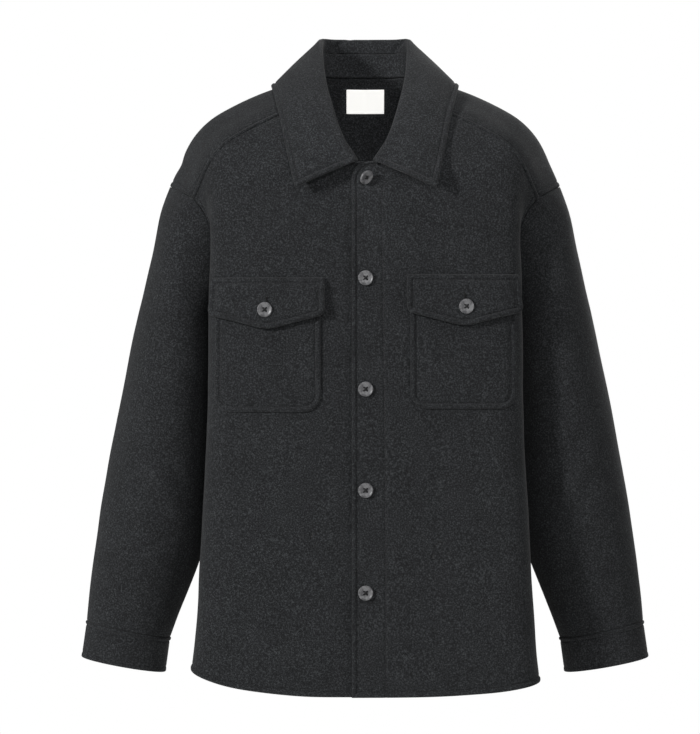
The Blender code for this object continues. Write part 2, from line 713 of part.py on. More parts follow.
def flap_spots(top_z):
    """Outline and stitched rim of a pointed flap, as rows from the top down."""
    reach = FLAP_WIDTH / 2
    sides = [reach, reach - RIM_ROUND, reach - RIM_WIDTH * RIDGE_TOP, reach - RIM_WIDTH]
    across = [-value for value in sides] + [reach * share for share in FLAP_COLUMNS] + sides[::-1]
    columns = []
    for value in across:
        aside = reach - abs(value)
        drop = FLAP_SIDE_DROP + (FLAP_POINT_DROP - FLAP_SIDE_DROP) * (aside / reach) ** FLAP_CURVE
        if aside < FLAP_CORNER:
            drop -= FLAP_CORNER - math.sqrt(FLAP_CORNER ** 2 - (FLAP_CORNER - aside) ** 2)
        columns.append((value, drop))
    spots, raised = [], []
    last = len(columns) - 1
    for row in range(FLAP_ROWS):
        spots.append([])
        raised.append([])
        for c, (value, drop) in enumerate(columns):
            steps = (0, RIM_ROUND, RIM_WIDTH * RIDGE_TOP, RIM_WIDTH, FLAP_FOLD, drop * FLAP_BELLY,
                     drop - RIM_WIDTH, drop - RIM_WIDTH * RIDGE_TOP, drop)
            spots[row].append((POCKET_MIDDLE + value, top_z - steps[row]))
            on_rim = row in (1, 2, FLAP_ROWS - 2) or c in (1, 2, last - 2, last - 1)
            at_edge = row in (0, FLAP_ROWS - 1)
            raised[row].append(RIM_HEIGHT if on_rim else (RIM_HEIGHT / 2 if at_edge else 0.0))
    return spots, raised


def make_pockets(half_of, wool, horn):
    for side, half in half_of.items():
        top_z = FLAP_TOP_Z[side]
        spots, raised = bag_spots(top_z - BAG_BELOW_TOP)
        lifts = [[LAY_GAP] * len(line) for line in spots]
        heights = [[PATCH_WALL + value for value in line] for line in raised]
        over, under = lay_patch(half, spots, lifts, heights)
        sheet_solid("pocket_" + side, [(to_side(over, side), to_side(under, side))], wool)

        spots, raised = flap_spots(top_z)
        over_bag = LAY_GAP + PATCH_WALL + RIM_HEIGHT + LAY_GAP
        lifts = []
        for line in spots:
            lifts.append([])
            for along, level in line:
                below = top_z - level
                free = smooth((below - BAG_BELOW_TOP) / (FLAP_SIDE_DROP - BAG_BELOW_TOP))
                over_edge = smooth(below / FLAP_FOLD)
                lifts[-1].append(LAY_GAP + (over_bag - LAY_GAP) * over_edge + FLAP_STAND * free)
        heights = [[WALL + value for value in line] for line in raised]
        over, under = lay_patch(half, spots, lifts, heights)
        sheet_solid("flap_" + side, [(to_side(over, side), to_side(under, side))], wool)

        place, normal = front_spot(half, POCKET_MIDDLE, top_z - FLAP_BUTTON_DROP)
        place = place + normal * (over_bag + FLAP_STAND + WALL + SEAM_GAP)
        if side == "right":
            place, normal = Vector((-place.x, place.y, place.z)), Vector((-normal.x, normal.y, normal.z))
        make_button("button_pocket_" + side, place, normal, horn)


# Buttons and label

def make_button(name, place, normal, look):
    """A turned button with a rim and a dished face, its back on the given place."""
    # radius and height of the section, from the middle of the back to the middle of the face
    flat = BUTTON_RADIUS - BUTTON_RIM
    profile = ((0, 0), (BUTTON_RADIUS * 0.8, 0), (BUTTON_RADIUS, BUTTON_THICK * BUTTON_SIDE),
               (BUTTON_RADIUS, BUTTON_THICK * 0.7), (BUTTON_RADIUS - BUTTON_RIM * 0.4, BUTTON_THICK),
               (flat, BUTTON_THICK - BUTTON_DISH * 0.3), (flat * 0.75, BUTTON_THICK - BUTTON_DISH),
               (0, BUTTON_THICK - BUTTON_DISH))
    mesh = bpy.data.meshes.new(name)
    bm = bmesh.new()
    verts = [bm.verts.new((radius, 0, height)) for radius, height in profile]
    for a, b in zip(verts, verts[1:]):
        bm.edges.new((a, b))
    bmesh.ops.spin(bm, geom=bm.verts[:] + bm.edges[:], cent=(0, 0, 0), axis=(0, 0, 1),
                   angle=math.tau, steps=BUTTON_STEPS, use_merge=True)
    bmesh.ops.remove_doubles(bm, verts=bm.verts, dist=0.00001)
    bmesh.ops.recalc_face_normals(bm, faces=bm.faces)
    bm.to_mesh(mesh)
    bm.free()
    mesh.shade_smooth()
    mesh.set_sharp_from_angle(angle=math.radians(40))
    made = add_object(name, mesh, look)
    made.location = place
    made.rotation_mode = "QUATERNION"
    made.rotation_quaternion = normal.to_track_quat("Z", "Y")
    return made


def make_placket_buttons(half_of, look):
    half = half_of["left"]
    for number, height in enumerate(PLACKET_BUTTON_Z, start=1):
        place, normal = placket_spot(half, height)
        axis, lift = normal, SEAM_GAP
        if number == 1:
            lean = math.radians(TOP_BUTTON_LEAN)
            axis = normal * math.cos(lean) + Vector(TOP_BUTTON_WAY).normalized() * math.sin(lean)
            lift += BUTTON_RADIUS * math.sin(lean) - BUTTON_THICK * BUTTON_SIDE * math.cos(lean)
        make_button("button_%d" % number, place + normal * lift, axis, look)


def placket_spot(half, height):
    """Point and normal of the upper front on the middle line."""
    tree = surface_tree({"left": half})
    in_front = Vector((0, BODY_ROWS[0].iy * 2, height))
    point, normal, _, _ = tree.ray_cast(in_front, Vector((0, 1, 0)))
    return point, normal


def make_label(half_of, look):
    """A bare woven label on the inside of the yoke, under the back neck seam."""
    tree = surface_tree(half_of)
    width, depth = LABEL_SIZE
    over, under = [], []
    steps_across, steps_down = LABEL_STEPS
    for row in range(steps_down + 1):
        over.append([])
        under.append([])
        for col in range(steps_across + 1):
            x = width * (col / steps_across - 0.5)
            z = LABEL_MIDDLE_Z + depth * (row / steps_down - 0.5)
            point, normal, _, _ = tree.ray_cast(Vector((x, 0, z)), Vector((0, 1, 0)))
            under[row].append(point - normal * (WALL + LABEL_GAP))
            over[row].append(point - normal * (WALL + LABEL_GAP + LABEL_THICK))
    sheet_solid("neck_label", [(over, under)], look)


for old in list(bpy.data.objects):
    bpy.data.objects.remove(old)
GARMENT = bpy.data.collections.new("shacket")
bpy.context.scene.collection.children.link(GARMENT)

wool = material("brushed wool", WOOL, 0.95)
horn = material("horn resin", BUTTON_GREY, 0.35)
woven = material("woven label", LABEL_WHITE, 0.7)
half_of = {"left": Half("left"), "right": Half("right")}

make_fronts(half_of, wool)
make_yoke(half_of, wool)
make_back(half_of, wool)
make_sleeves(half_of, wool)
make_collar(half_of, wool)
make_pockets(half_of, wool, horn)
make_placket_buttons(half_of, horn)
make_label(half_of, woven)
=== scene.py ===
"""The looks of a charcoal brushed-wool shacket, filled out with no wearer.

It is dressed piece by piece, in the order in which a maker would put it together, on the
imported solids. Everything is in metres, with +Z up, the front towards -Y and the wearer's
left towards +X. The left front laps over the right one.
"""

import math
from collections import namedtuple

import bmesh
import bpy
import numpy as np
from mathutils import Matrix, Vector, noise
from mathutils.bvhtree import BVHTree


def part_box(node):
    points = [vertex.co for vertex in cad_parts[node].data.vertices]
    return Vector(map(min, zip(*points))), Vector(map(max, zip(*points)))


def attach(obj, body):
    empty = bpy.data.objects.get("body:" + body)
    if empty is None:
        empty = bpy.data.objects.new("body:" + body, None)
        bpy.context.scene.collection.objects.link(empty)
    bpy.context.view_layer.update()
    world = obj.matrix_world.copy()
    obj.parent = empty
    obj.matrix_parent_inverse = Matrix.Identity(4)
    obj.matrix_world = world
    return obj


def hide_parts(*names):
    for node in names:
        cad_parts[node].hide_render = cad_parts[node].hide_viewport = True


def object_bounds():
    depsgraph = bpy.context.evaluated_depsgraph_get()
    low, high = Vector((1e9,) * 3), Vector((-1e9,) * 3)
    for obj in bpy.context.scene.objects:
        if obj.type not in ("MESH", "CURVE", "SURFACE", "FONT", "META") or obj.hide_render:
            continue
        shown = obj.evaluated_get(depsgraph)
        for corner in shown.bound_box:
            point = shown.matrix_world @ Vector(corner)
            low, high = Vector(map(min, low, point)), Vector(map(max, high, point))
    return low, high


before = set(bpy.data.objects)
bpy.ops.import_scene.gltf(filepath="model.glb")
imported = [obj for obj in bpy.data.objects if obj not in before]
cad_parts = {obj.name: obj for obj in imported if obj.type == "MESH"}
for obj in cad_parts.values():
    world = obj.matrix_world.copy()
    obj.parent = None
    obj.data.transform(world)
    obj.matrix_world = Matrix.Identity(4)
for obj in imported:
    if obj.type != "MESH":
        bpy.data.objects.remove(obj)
cad_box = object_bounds()


# The camera stands level before the chest, where the photographer's did. The picture is
# 700 by 734 pixels, and its long side takes the 36 mm of the sensor.
CAMERA_PLACE = (-0.0187, -3.2, -0.368)
CAMERA_LENS = 125.9

lens = bpy.data.cameras.new("camera")
lens.lens = CAMERA_LENS
lens.sensor_width = 36
lens.clip_start = 0.1
camera = bpy.data.objects.new("camera", lens)
camera.location = CAMERA_PLACE
camera.rotation_euler = (math.radians(90), 0, 0)
bpy.context.scene.collection.objects.link(camera)
bpy.context.scene.camera = camera


# The studio is a white room with a pale matt floor well below the hem. Its walls show white
# but send back less light than they would if nothing else stood there. A small soft box
# low on the left makes the shadows, a wide one beside the camera fills them, and weaker
# ones stand on the right, above and behind. A snoot throws a soft pool of light on the neck.
FLOOR_BELOW = 0.62       # from the hem
FLOOR_RADIUS = 2.6
FLOOR_PALE = "#f4f4f2"
ROOM_WHITE = "#ffffff"
ROOM_SEEN = 1.0
ROOM_LIGHT = 0.05        # share of the seen white that falls on the cloth
SOFT_BOXES = (           # name, place, aim, size and watts
    ("key", (-2.65, -2.1, 0.75), (0.0, 0.0, -0.25), 0.50, 88),
    ("fill", (0.4, -3.4, 0.55), (0.0, 0.0, -0.15), 1.1, 19),
    ("side", (2.7, -1.9, 0.2), (0.0, 0.0, -0.35), 1.6, 18),
    ("top", (0.3, -0.6, 2.2), (0.0, 0.0, -0.10), 1.2, 16),
    ("rear", (1.2, 2.6, 0.9), (0.0, 0.0, -0.35), 1.8, 46),
)
SNOOT_PLACE = (0.12, -2.6, 0.35)
SNOOT_AIM = (0.01, 0.0, -0.04)
SNOOT_ANGLE = 8
SNOOT_POWER = 80
SNOOT_SIZE = 0.10


def linear(hex_colour):
    """An sRGB hex colour as linear red, green, blue and alpha."""
    channels = [int(hex_colour[i:i + 2], 16) / 255 for i in (1, 3, 5)]
    return (*[c / 12.92 if c <= 0.04045 else ((c + 0.055) / 1.055) ** 2.4 for c in channels], 1.0)


def add_node(tree, kind, settings=None, links=None):
    """A new node with its settings and inputs. A link is the socket that feeds an input."""
    made = tree.nodes.new(kind)
    for name, value in (settings or {}).items():
        if name in made.inputs:
            made.inputs[name].default_value = value
        else:
            setattr(made, name, value)
    for name, socket in (links or {}).items():
        tree.links.new(socket, made.inputs[name])
    return made


def new_material(name):
    """A material with an empty tree, and that tree."""
    made = bpy.data.materials.new(name)
    made.use_nodes = True
    made.node_tree.nodes.clear()
    return made, made.node_tree


def pattern(tree, size, settings, kind="ShaderNodeTexNoise"):
    """A pattern of this size in the object's own space."""
    place = add_node(tree, "ShaderNodeTexCoord")
    return add_node(tree, kind, {"Scale": 1 / size, **settings}, {"Vector": place.outputs["Object"]})


def bumped(tree, height, strength, depth):
    return add_node(tree, "ShaderNodeBump", {"Strength": strength, "Distance": depth},
                    {"Height": height.outputs["Fac"]}).outputs["Normal"]


def shaded(tree, factor, stops):
    """Colours along a pattern: the darkest, the palest, then any between, each with its place."""
    blend = add_node(tree, "ShaderNodeValToRGB", links={"Fac": factor.outputs["Fac"]})
    ramp = blend.color_ramp.elements
    for element, (place, colour) in zip(ramp, stops):
        element.position, element.color = place, linear(colour)
    for place, colour in stops[2:]:
        ramp.new(place).color = linear(colour)
    return blend.outputs["Color"]


def surfaced(tree, settings, links=None):
    """Ends a material's tree in one surface."""
    surface = add_node(tree, "ShaderNodeBsdfPrincipled", settings, links)
    add_node(tree, "ShaderNodeOutputMaterial", links={"Surface": surface.outputs["BSDF"]})


def hang_lamp(lamp, place, aim):
    holder = bpy.data.objects.new(lamp.name, lamp)
    holder.location = place
    holder.rotation_euler = (Vector(aim) - Vector(place)).to_track_quat("-Z", "Y").to_euler()
    bpy.context.scene.collection.objects.link(holder)


room = bpy.data.worlds.new("white room")
room.use_nodes = True
background = room.node_tree.nodes["Background"]
background.inputs["Color"].default_value = linear(ROOM_WHITE)
ray = add_node(room.node_tree, "ShaderNodeLightPath")
strength = add_node(room.node_tree, "ShaderNodeMapRange", {"To Min": ROOM_LIGHT, "To Max": ROOM_SEEN},
                    {"Value": ray.outputs["Is Camera Ray"]})
room.node_tree.links.new(strength.outputs["Result"], background.inputs["Strength"])
bpy.context.scene.world = room
bpy.context.scene.view_settings.view_transform = "Standard"

for name, place, aim, size, power in SOFT_BOXES:
    lamp = bpy.data.lights.new(name, "AREA")
    lamp.shape = "DISK"
    lamp.size = size
    lamp.energy = power
    hang_lamp(lamp, place, aim)

snoot = bpy.data.lights.new("snoot", "SPOT")
snoot.energy = SNOOT_POWER
snoot.spot_size = math.radians(SNOOT_ANGLE)
snoot.spot_blend = 1.0
snoot.shadow_soft_size = SNOOT_SIZE
hang_lamp(snoot, SNOOT_PLACE, SNOOT_AIM)

floor_paint, tree = new_material("matt floor paint")
surfaced(tree, {"Base Color": linear(FLOOR_PALE), "Roughness": 0.9})
bpy.ops.mesh.primitive_circle_add(vertices=96, radius=FLOOR_RADIUS, fill_type="NGON")
floor = bpy.context.object
floor.name = "floor"
floor.location.z = cad_box[0].z - FLOOR_BELOW
floor.data.materials.append(floor_paint)


# The cloth is a heavy woollen flannel: dark and mid grey fibres are blended before they
# are spun, and the woven cloth is milled and brushed, so that short fibres hide the weave.
WOOL_DARK = "#18191a"
WOOL_MID = "#232426"
WOOL_PALE = "#45484a"
SPECK = 0.0018           # grey specks of fibre; real ones are finer, this is what shows
CLOUD = 0.030            # slow change of shade over the cloth
NAP = 0.0016             # tufts of the brushed surface
NAP_DEPTH = 0.0005

wool, tree = new_material("brushed wool flannel")
specks = pattern(tree, SPECK, {"Detail": 3.0, "Roughness": 0.65})
clouds = pattern(tree, CLOUD, {"Detail": 2.0})
tufts = pattern(tree, NAP, {"Detail": 4.0, "Roughness": 0.7})
shade = add_node(tree, "ShaderNodeMapRange", {"From Min": 0.3, "From Max": 0.7, "To Min": 0.9, "To Max": 1.1},
                 {"Value": clouds.outputs["Fac"]})
tinted = add_node(tree, "ShaderNodeVectorMath", {"operation": "SCALE"},
                  {0: shaded(tree, specks, ((0.34, WOOL_DARK), (0.72, WOOL_PALE), (0.50, WOOL_MID))),
                   "Scale": shade.outputs["Result"]})
surfaced(tree, {"Roughness": 0.95, "Specular IOR Level": 0.2, "Sheen Weight": 0.08, "Sheen Roughness": 0.5},
         {"Base Color": tinted.outputs["Vector"], "Normal": bumped(tree, tufts, 0.7, NAP_DEPTH)})


# Left and right front. Each is one cut piece from the hem to the yoke seam and the neck,
# with a turned and topstitched front edge and hem. The upper, left one carries the
# placket: a second line of stitches holds its inner fold.
WALL = 0.0022
EDGE_LINE = 0.0062       # topstitch from a turned edge
PLACKET_LINE = 0.0410
HEM_LINE = 0.0062
ROLL_HEIGHT = 0.0012     # the turned edge is thicker than the panel
GROOVE_DEPTH = 0.0010
GROOVE_HALF = 0.0013
SEAM_TURNING = 0.010
HEM_TURNING = 0.020
FLAT_ANGLE = math.radians(50)
CORNER_ANGLE = math.radians(130)     # a sheet's corners are sharper, and a tube has none
SOLID_WELD = 1e-6
EDGE_MARKS = (0.0, 0.0004, 0.0010, 0.0020, 0.0035, 0.0048, 0.0056, 0.0062, 0.0068, 0.0077, 0.0092, 0.0120)
SEAM_MARKS = (0.0, 0.0005, 0.0014, 0.0030)
PLACKET_MARKS = EDGE_MARKS + (0.0160, 0.0200, 0.0240, 0.0280, 0.0320, 0.0360, 0.0385, 0.0396, 0.0404, 0.0410,
                              0.0416, 0.0424, 0.0435, 0.0460)
RIM_SOFT = 0.35          # share of the wall that its rim is rounded by, over the next width
RIM_SOFT_RUN = 0.001
ON_MIDDLE = 1e-5         # points this near to the garment's middle plane are on it
Cloth = namedtuple("Cloth", "points normals left right bottom top")


def walk(node, origin, across, others=(), half=0):
    """The regular grid of points of a node's outer face, or of its half towards +X or -X.

    The face is walked over its split quads. The first point is the corner nearest to
    origin, and the first row runs to the corner nearest to across. A sheet whose border
    has more than four corners is given the others too. A tube starts with the open ring
    nearest to origin, and each row ends where it started.
    """
    bm = bmesh.new()
    bm.from_mesh(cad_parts[node].data)
    bmesh.ops.remove_doubles(bm, verts=bm.verts, dist=SOLID_WELD)
    bm.normal_update()
    groups, seen = [], set()
    for face in bm.faces:
        if face in seen:
            continue
        group, stack = set(), [face]
        seen.add(face)
        while stack:
            each = stack.pop()
            group.add(each)
            for edge in each.edges:
                if edge.calc_face_angle(math.pi) < FLAT_ANGLE:
                    stack += [other for other in edge.link_faces if other not in seen]
                    seen.update(edge.link_faces)
        groups.append(group)
    sheet = max(groups, key=lambda group: sum(face.calc_area() for face in group))
    if half:
        sheet = {face for face in sheet if face.calc_center_median().x * half > 0}
    border, angle = {}, {}
    for face in sheet:
        for loop in face.loops:
            angle[loop.vert] = angle.get(loop.vert, 0) + loop.calc_angle()
            if sum(other in sheet for other in loop.edge.link_faces) == 1:
                a, b = loop.edge.verts
                border.setdefault(a, []).append(b)
                border.setdefault(b, []).append(a)

    def border_path(a, b, stops):
        path = [a, b]
        while path[-1] not in stops:
            path.append(next(v for v in border[path[-1]] if v is not path[-2]))
        return path

    def nearest(verts, point):
        return min(verts, key=lambda v: (v.co - Vector(point)).length)

    corners = sorted(border, key=lambda v: angle[v])[:4]
    if others:
        corners = [nearest(border, point) for point in (origin, across, *others)]
    tube = angle[corners[0]] > CORNER_ANGLE
    if tube:
        first = nearest(border, origin)
        row = border_path(first, nearest(border[first], across), {first})
        side = None
    else:
        first = nearest(corners, origin)
        paths = [border_path(first, v, set(corners)) for v in border[first]]
        goal = nearest(corners, across)
        row = next(path for path in paths if path[-1] is goal)
        side = next(path for path in paths if path is not row)
    walked = set()

    def beyond(a, b):
        """The third corner of the face on this edge that isn't walked yet."""
        for face in bm.edges.get((a, b)).link_faces:
            if face in sheet and face not in walked:
                walked.add(face)
                return next(v for v in face.verts if v not in (a, b))

    def start_beside(below):
        """Where the next ring of a tube starts: the neighbour most square to this ring."""
        here, way = below[0], (below[1].co - below[-2].co).normalized()
        ahead = [e.other_vert(here) for e in here.link_edges
                 if any(f in sheet and f not in walked for f in e.link_faces)]
        ahead = [v for v in ahead if v not in below]
        return min(ahead, key=lambda v: abs((v.co - here.co).normalized().dot(way)))

    rows = [row]
    while (len(rows) < len(side)) if side else (len(rows) == 1 or rows[-1][0] not in border):
        below = rows[-1]
        line = [side[len(rows)] if side else start_beside(below)]
        for a, b in zip(below, below[1:]):
            found = beyond(a, b)
            if found is line[-1]:
                found = beyond(found, b)
            else:
                beyond(a, found)
            line.append(found)
        rows.append(line)
    points = np.array([[v.co for v in line] for line in rows])
    mid = rows[len(rows) // 2][len(row) // 2]
    outward = np.array(mid.normal)
    bm.free()
    return points, outward, tube


def spline(points, distances, closed=False, corner=0):
    """Points at these distances along the smooth line through the given points.

    The line may turn sharply at the point numbered corner.
    """
    p = np.asarray(points)
    if corner:
        turn = line_length(p[:corner + 1])
        before = distances <= turn
        return np.concatenate([spline(p[:corner + 1], distances[before]),
                               spline(p[corner:], distances[~before] - turn)])
    if closed:
        p = np.concatenate([p[-4:-1], p, p[1:4]])
    h = np.linalg.norm(np.diff(p, axis=0), axis=1)
    t = np.concatenate([[0], np.cumsum(h)])
    count = len(p)
    system, slopes = np.eye(count), np.diff(p, axis=0) / h[:, None]
    right = np.zeros_like(p)
    for i in range(1, count - 1):
        system[i, i - 1:i + 2] = h[i - 1], 2 * (h[i - 1] + h[i]), h[i]
        right[i] = 6 * (slopes[i] - slopes[i - 1])
    bend = np.linalg.solve(system, right)
    at = np.asarray(distances) + (t[3] if closed else 0)
    i = np.clip(np.searchsorted(t, at) - 1, 0, count - 2)
    low, high, step = (at - t[i])[:, None], (t[i + 1] - at)[:, None], h[i][:, None]
    return (bend[i] * high ** 3 + bend[i + 1] * low ** 3) / (6 * step) \
        + (p[i] / step - bend[i] * step / 6) * high + (p[i + 1] / step - bend[i + 1] * step / 6) * low


def sampled(marks, length, longest):
    """Where a line is sampled: set distances at its start and at its end, and between them
    as many even steps as the longest line beside it needs."""
    first, last, step = marks
    count = max(2, round((longest - first[-1] - last[-1]) / step))
    inner = np.linspace(first[-1], length - last[-1], count + 1)[1:-1]
    return np.concatenate([first, inner, length - np.array(last)[::-1]])


def line_length(points):
    return np.linalg.norm(np.diff(points, axis=0), axis=1).sum()


def run_along(points, axis=0):
    """Each point's distance along its line from the first one."""
    steps = np.linalg.norm(np.diff(points, axis=axis), axis=-1)
    return np.concatenate([0 * np.take(steps, [0], axis=axis), np.cumsum(steps, axis=axis)], axis=axis)


def refined(grid, up, across, corner=0):
    """The smooth cloth through a coarse grid, sampled by marks up its sides and across it.

    The first side may turn sharply at the row numbered corner.
    """
    points, outward, tube = grid
    lengths = [line_length(points[:, c]) for c in range(points.shape[1])]
    columns = [spline(points[:, c], sampled(up, length, max(lengths)))
               for c, length in enumerate(lengths) if c or not corner]
    if corner:
        at = sampled(up, lengths[0], max(lengths))
        turn = line_length(points[:corner + 1, 0])
        at[np.abs(at - turn).argmin()] = turn
        columns.insert(0, spline(points[:, 0], at, corner=corner))
    points = np.stack(columns, axis=1)
    lengths = [line_length(line) for line in points]
    points = np.stack([spline(line, sampled(across, length, max(lengths)), tube)
                       for line, length in zip(points, lengths)])
    return measured(points, outward, tube)


def measured(points, outward, tube=False):
    """Adds to a dense grid its normals and each point's distance from the four edges."""
    by_row, by_col = np.gradient(points, axis=0), np.gradient(points, axis=1)
    if tube:
        by_col[:, 0] = by_col[:, -1] = points[:, 1] - points[:, -2]
    normals = np.cross(by_col, by_row)
    on_fold = np.abs(points[..., 0]) < ON_MIDDLE
    normals[on_fold, 0] = 0
    normals /= np.linalg.norm(normals, axis=2, keepdims=True)
    rows, cols = points.shape[:2]
    if normals[rows // 2, cols // 2] @ outward < 0:
        normals = -normals
    far = np.full((rows, cols), 1.0)
    up, across = run_along(points, 0), run_along(points, 1)
    sides = (far, far) if tube else (across, across[:, -1:] - across)
    if not tube and on_fold[-1, 0]:
        sides = (across + far * on_fold[:, :1], sides[1])
    return Cloth(points, normals, *sides, up, up[-1:] - up)


def rolled(distance, line=EDGE_LINE, height=ROLL_HEIGHT, groove=GROOVE_DEPTH):
    """Height of a turned edge: a soft roll up to its line of stitches, which pull a groove."""
    share = np.clip(distance / line, 0, 1)
    return height * np.sqrt(np.sin(np.pi * share)) + sewn_groove(distance, line, groove)


def sewn_groove(distance, line, depth=GROOVE_DEPTH):
    return -depth * np.exp(-((distance - line) / GROOVE_HALF) ** 2)


def creased(across, up, creases):
    """Height of soft folds. Each is a row of where it starts, across and up, where it ends,
    its half width and its height. It fades at its ends."""
    height = np.zeros_like(across)
    for across_a, up_a, across_b, up_b, wide, deep in creases:
        run = np.array((across_b - across_a, up_b - up_a))
        share = ((across - across_a) * run[0] + (up - up_a) * run[1]) / (run @ run)
        held = np.clip(share, 0, 1)
        aside = np.hypot(across - across_a - held * run[0], up - up_a - held * run[1])
        height += deep * np.exp(-(aside / wide) ** 2) * np.sin(np.pi * np.clip(held, 0.02, 0.98))
    return height


def uneven(points, size, height, seed):
    """A slow unevenness of the cloth, from one noise in space."""
    flat = points.reshape(-1, 3) / size
    values = [noise.noise(Vector(p) + Vector((seed, 0, 0))) for p in flat]
    return height * np.array(values).reshape(points.shape[:2])


def add_piece(name, vertices, faces, look):
    """A smooth mesh object that rides on the garment's one body."""
    mesh = bpy.data.meshes.new(name)
    mesh.from_pydata([tuple(v) for v in vertices], [], [tuple(f) for f in faces])
    mesh.materials.append(look)
    mesh.shade_smooth()
    made = bpy.data.objects.new(name, mesh)
    bpy.context.scene.collection.objects.link(made)
    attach(made, "root")
    return made


def wall_of(cloth, height, wall, tube):
    """Vertices and faces of one thin wall with relief, a plain back and rounded edges."""
    edge = np.minimum(np.minimum(cloth.left, cloth.right), np.minimum(cloth.bottom, cloth.top))
    soft = RIM_SOFT * wall * (1 - np.clip(edge / RIM_SOFT_RUN, 0, 1)) ** 2
    outer = cloth.points + cloth.normals * (height - soft)[..., None]
    inner = cloth.points - cloth.normals * (wall - soft)[..., None]
    if tube:
        outer, inner = outer[:, :-1], inner[:, :-1]
    rows, cols = outer.shape[:2]
    index = np.arange(rows * cols).reshape(rows, cols)
    if tube:
        index = np.concatenate([index, index[:, :1]], axis=1)
    quads = np.stack([index[:-1, :-1], index[:-1, 1:], index[1:, 1:], index[1:, :-1]], axis=-1).reshape(-1, 4)
    flat = outer.reshape(-1, 3)
    a, b, c = (flat[quads[len(quads) // 2][k]] for k in (0, 1, 2))
    if np.cross(b - a, c - a) @ cloth.normals.reshape(-1, 3)[quads[len(quads) // 2][0] % (rows * cols)] < 0:
        quads = quads[:, ::-1]
    total = rows * cols
    rings = [ring for ring in (index[0], index[-1]) if np.ptp(flat[ring], axis=0).max() > ON_MIDDLE] if tube \
        else [np.concatenate([index[0], index[1:, -1], index[-1, -2::-1], index[-2::-1, 0]])]
    walls = [(p, q, q + total, p + total) for ring in rings for p, q in zip(ring, ring[1:])
             if max(abs(flat[p][0]), abs(flat[q][0])) > ON_MIDDLE]
    return np.concatenate([flat, inner.reshape(-1, 3)]), [quads, quads[:, ::-1] + total, np.array(walls)]


def declare_cut(cloths, turnings, outline):
    """Works out the flat size that a piece was cut to, with its turnings, and keeps it nowhere.

    It is the outline's, or else it is measured along the cloth.
    """
    left, right, bottom, top = np.broadcast_to(turnings, 4)
    width, length, area = 0.0, 0.0, 0.0
    for cloth in cloths:
        p = cloth.points
        across = np.linalg.norm(np.diff(p, axis=1), axis=2).sum(axis=1)
        up = np.linalg.norm(np.diff(p, axis=0), axis=2).sum(axis=0)
        width += across.max()
        length = max(length, up.max())
        area += np.linalg.norm(np.cross(p[1:, 1:] - p[:-1, :-1], p[1:, :-1] - p[:-1, 1:]), axis=2).sum() / 2
        if outline:
            area += line_length(p[0]) * left
        else:
            area += (bottom + top) * across.mean() + (left + right) * up.mean() / len(cloths)
    width, length = outline or (width, length)


def sealed(bm, mesh):
    """Welds a mesh, turns its faces outwards and keeps it."""
    bmesh.ops.remove_doubles(bm, verts=bm.verts, dist=ON_MIDDLE)
    bmesh.ops.recalc_face_normals(bm, faces=bm.faces)
    bm.to_mesh(mesh)
    bm.free()


def shell(node, patches, wall=WALL, tube=False, turnings=SEAM_TURNING, outline=None, look=wool):
    """A thin closed wall that stands for a node, from cloths with their relief.

    Patches that meet on the garment's middle are welded there. The turnings are what is
    folded in at the left, right, bottom and top, or at every edge. The cloths come back
    with their relief in their points.
    """
    vertices, faces, base = [], [], 0
    for cloth, height in patches:
        more, groups = wall_of(cloth, height, wall, tube)
        vertices.append(more)
        faces += [face + base for group in groups for face in group]
        base += len(more)
    made = add_piece("cloth_" + node, np.concatenate(vertices), faces, look)
    bm = bmesh.new()
    bm.from_mesh(made.data)
    sealed(bm, made.data)
    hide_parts(node)
    declare_cut([cloth for cloth, height in patches], turnings, outline)
    return [cloth._replace(points=cloth.points + cloth.normals * height[..., None])
            for cloth, height in patches]


# Sewing thread. It is a spun polyester thread of the cloth's own grey, and the machine lays
# it in stitches of 3 mm that arch over the cloth and dive into it at both ends.
THREAD_GREY = "#2b2b2e"
THREAD_RADIUS = 0.00028
STITCH_PITCH = 0.0030
STITCH_LENGTH = 0.0023
STITCH_ARCH = ((0.0, -0.7, 0.6), (0.2, 0.35, 1.0), (0.5, 0.65, 1.0), (0.8, 0.35, 1.0), (1.0, -0.7, 0.6))
STITCH_SIDES = 5
TWIST = 0.0004
TWIST_DEPTH = 0.0001

thread, tree = new_material("spun polyester thread")
twist = pattern(tree, TWIST, {"Detail": 1.0})
surfaced(tree, {"Base Color": linear(THREAD_GREY), "Roughness": 0.6},
         {"Normal": bumped(tree, twist, 0.5, TWIST_DEPTH)})


def closed_tube(base, rings, sides):
    """The faces of a tube of rings of points, closed at both ends."""
    faces = []
    for start in range(base, base + (rings - 1) * sides, sides):
        for side in range(sides):
            a, b = start + side, start + (side + 1) % sides
            faces.append((a, b, b + sides, a + sides))
    faces.append(tuple(range(base, base + sides))[::-1])
    faces.append(tuple(range(base + (rings - 1) * sides, base + rings * sides)))
    return faces


def strand(starts, ends, lifts, radius=THREAD_RADIUS, arch=STITCH_ARCH):
    """Vertices and faces of short arched threads between points on the cloth."""
    starts, ends, lifts = np.asarray(starts), np.asarray(ends), np.asarray(lifts)
    way = ends - starts
    aside = np.cross(way, lifts)
    aside /= np.linalg.norm(aside, axis=1, keepdims=True)
    vertices = []
    for share, lift, thick in arch:
        middle = starts + way * share + lifts * (lift * radius)
        for side in range(STITCH_SIDES):
            turn = math.tau * side / STITCH_SIDES
            vertices.append(middle + (aside * math.cos(turn) + lifts * math.sin(turn)) * (radius * thick))
    faces = [face for n in range(len(starts))
             for face in closed_tube(n * len(vertices), len(arch), STITCH_SIDES)]
    return np.stack(vertices, axis=1).reshape(-1, 3), faces


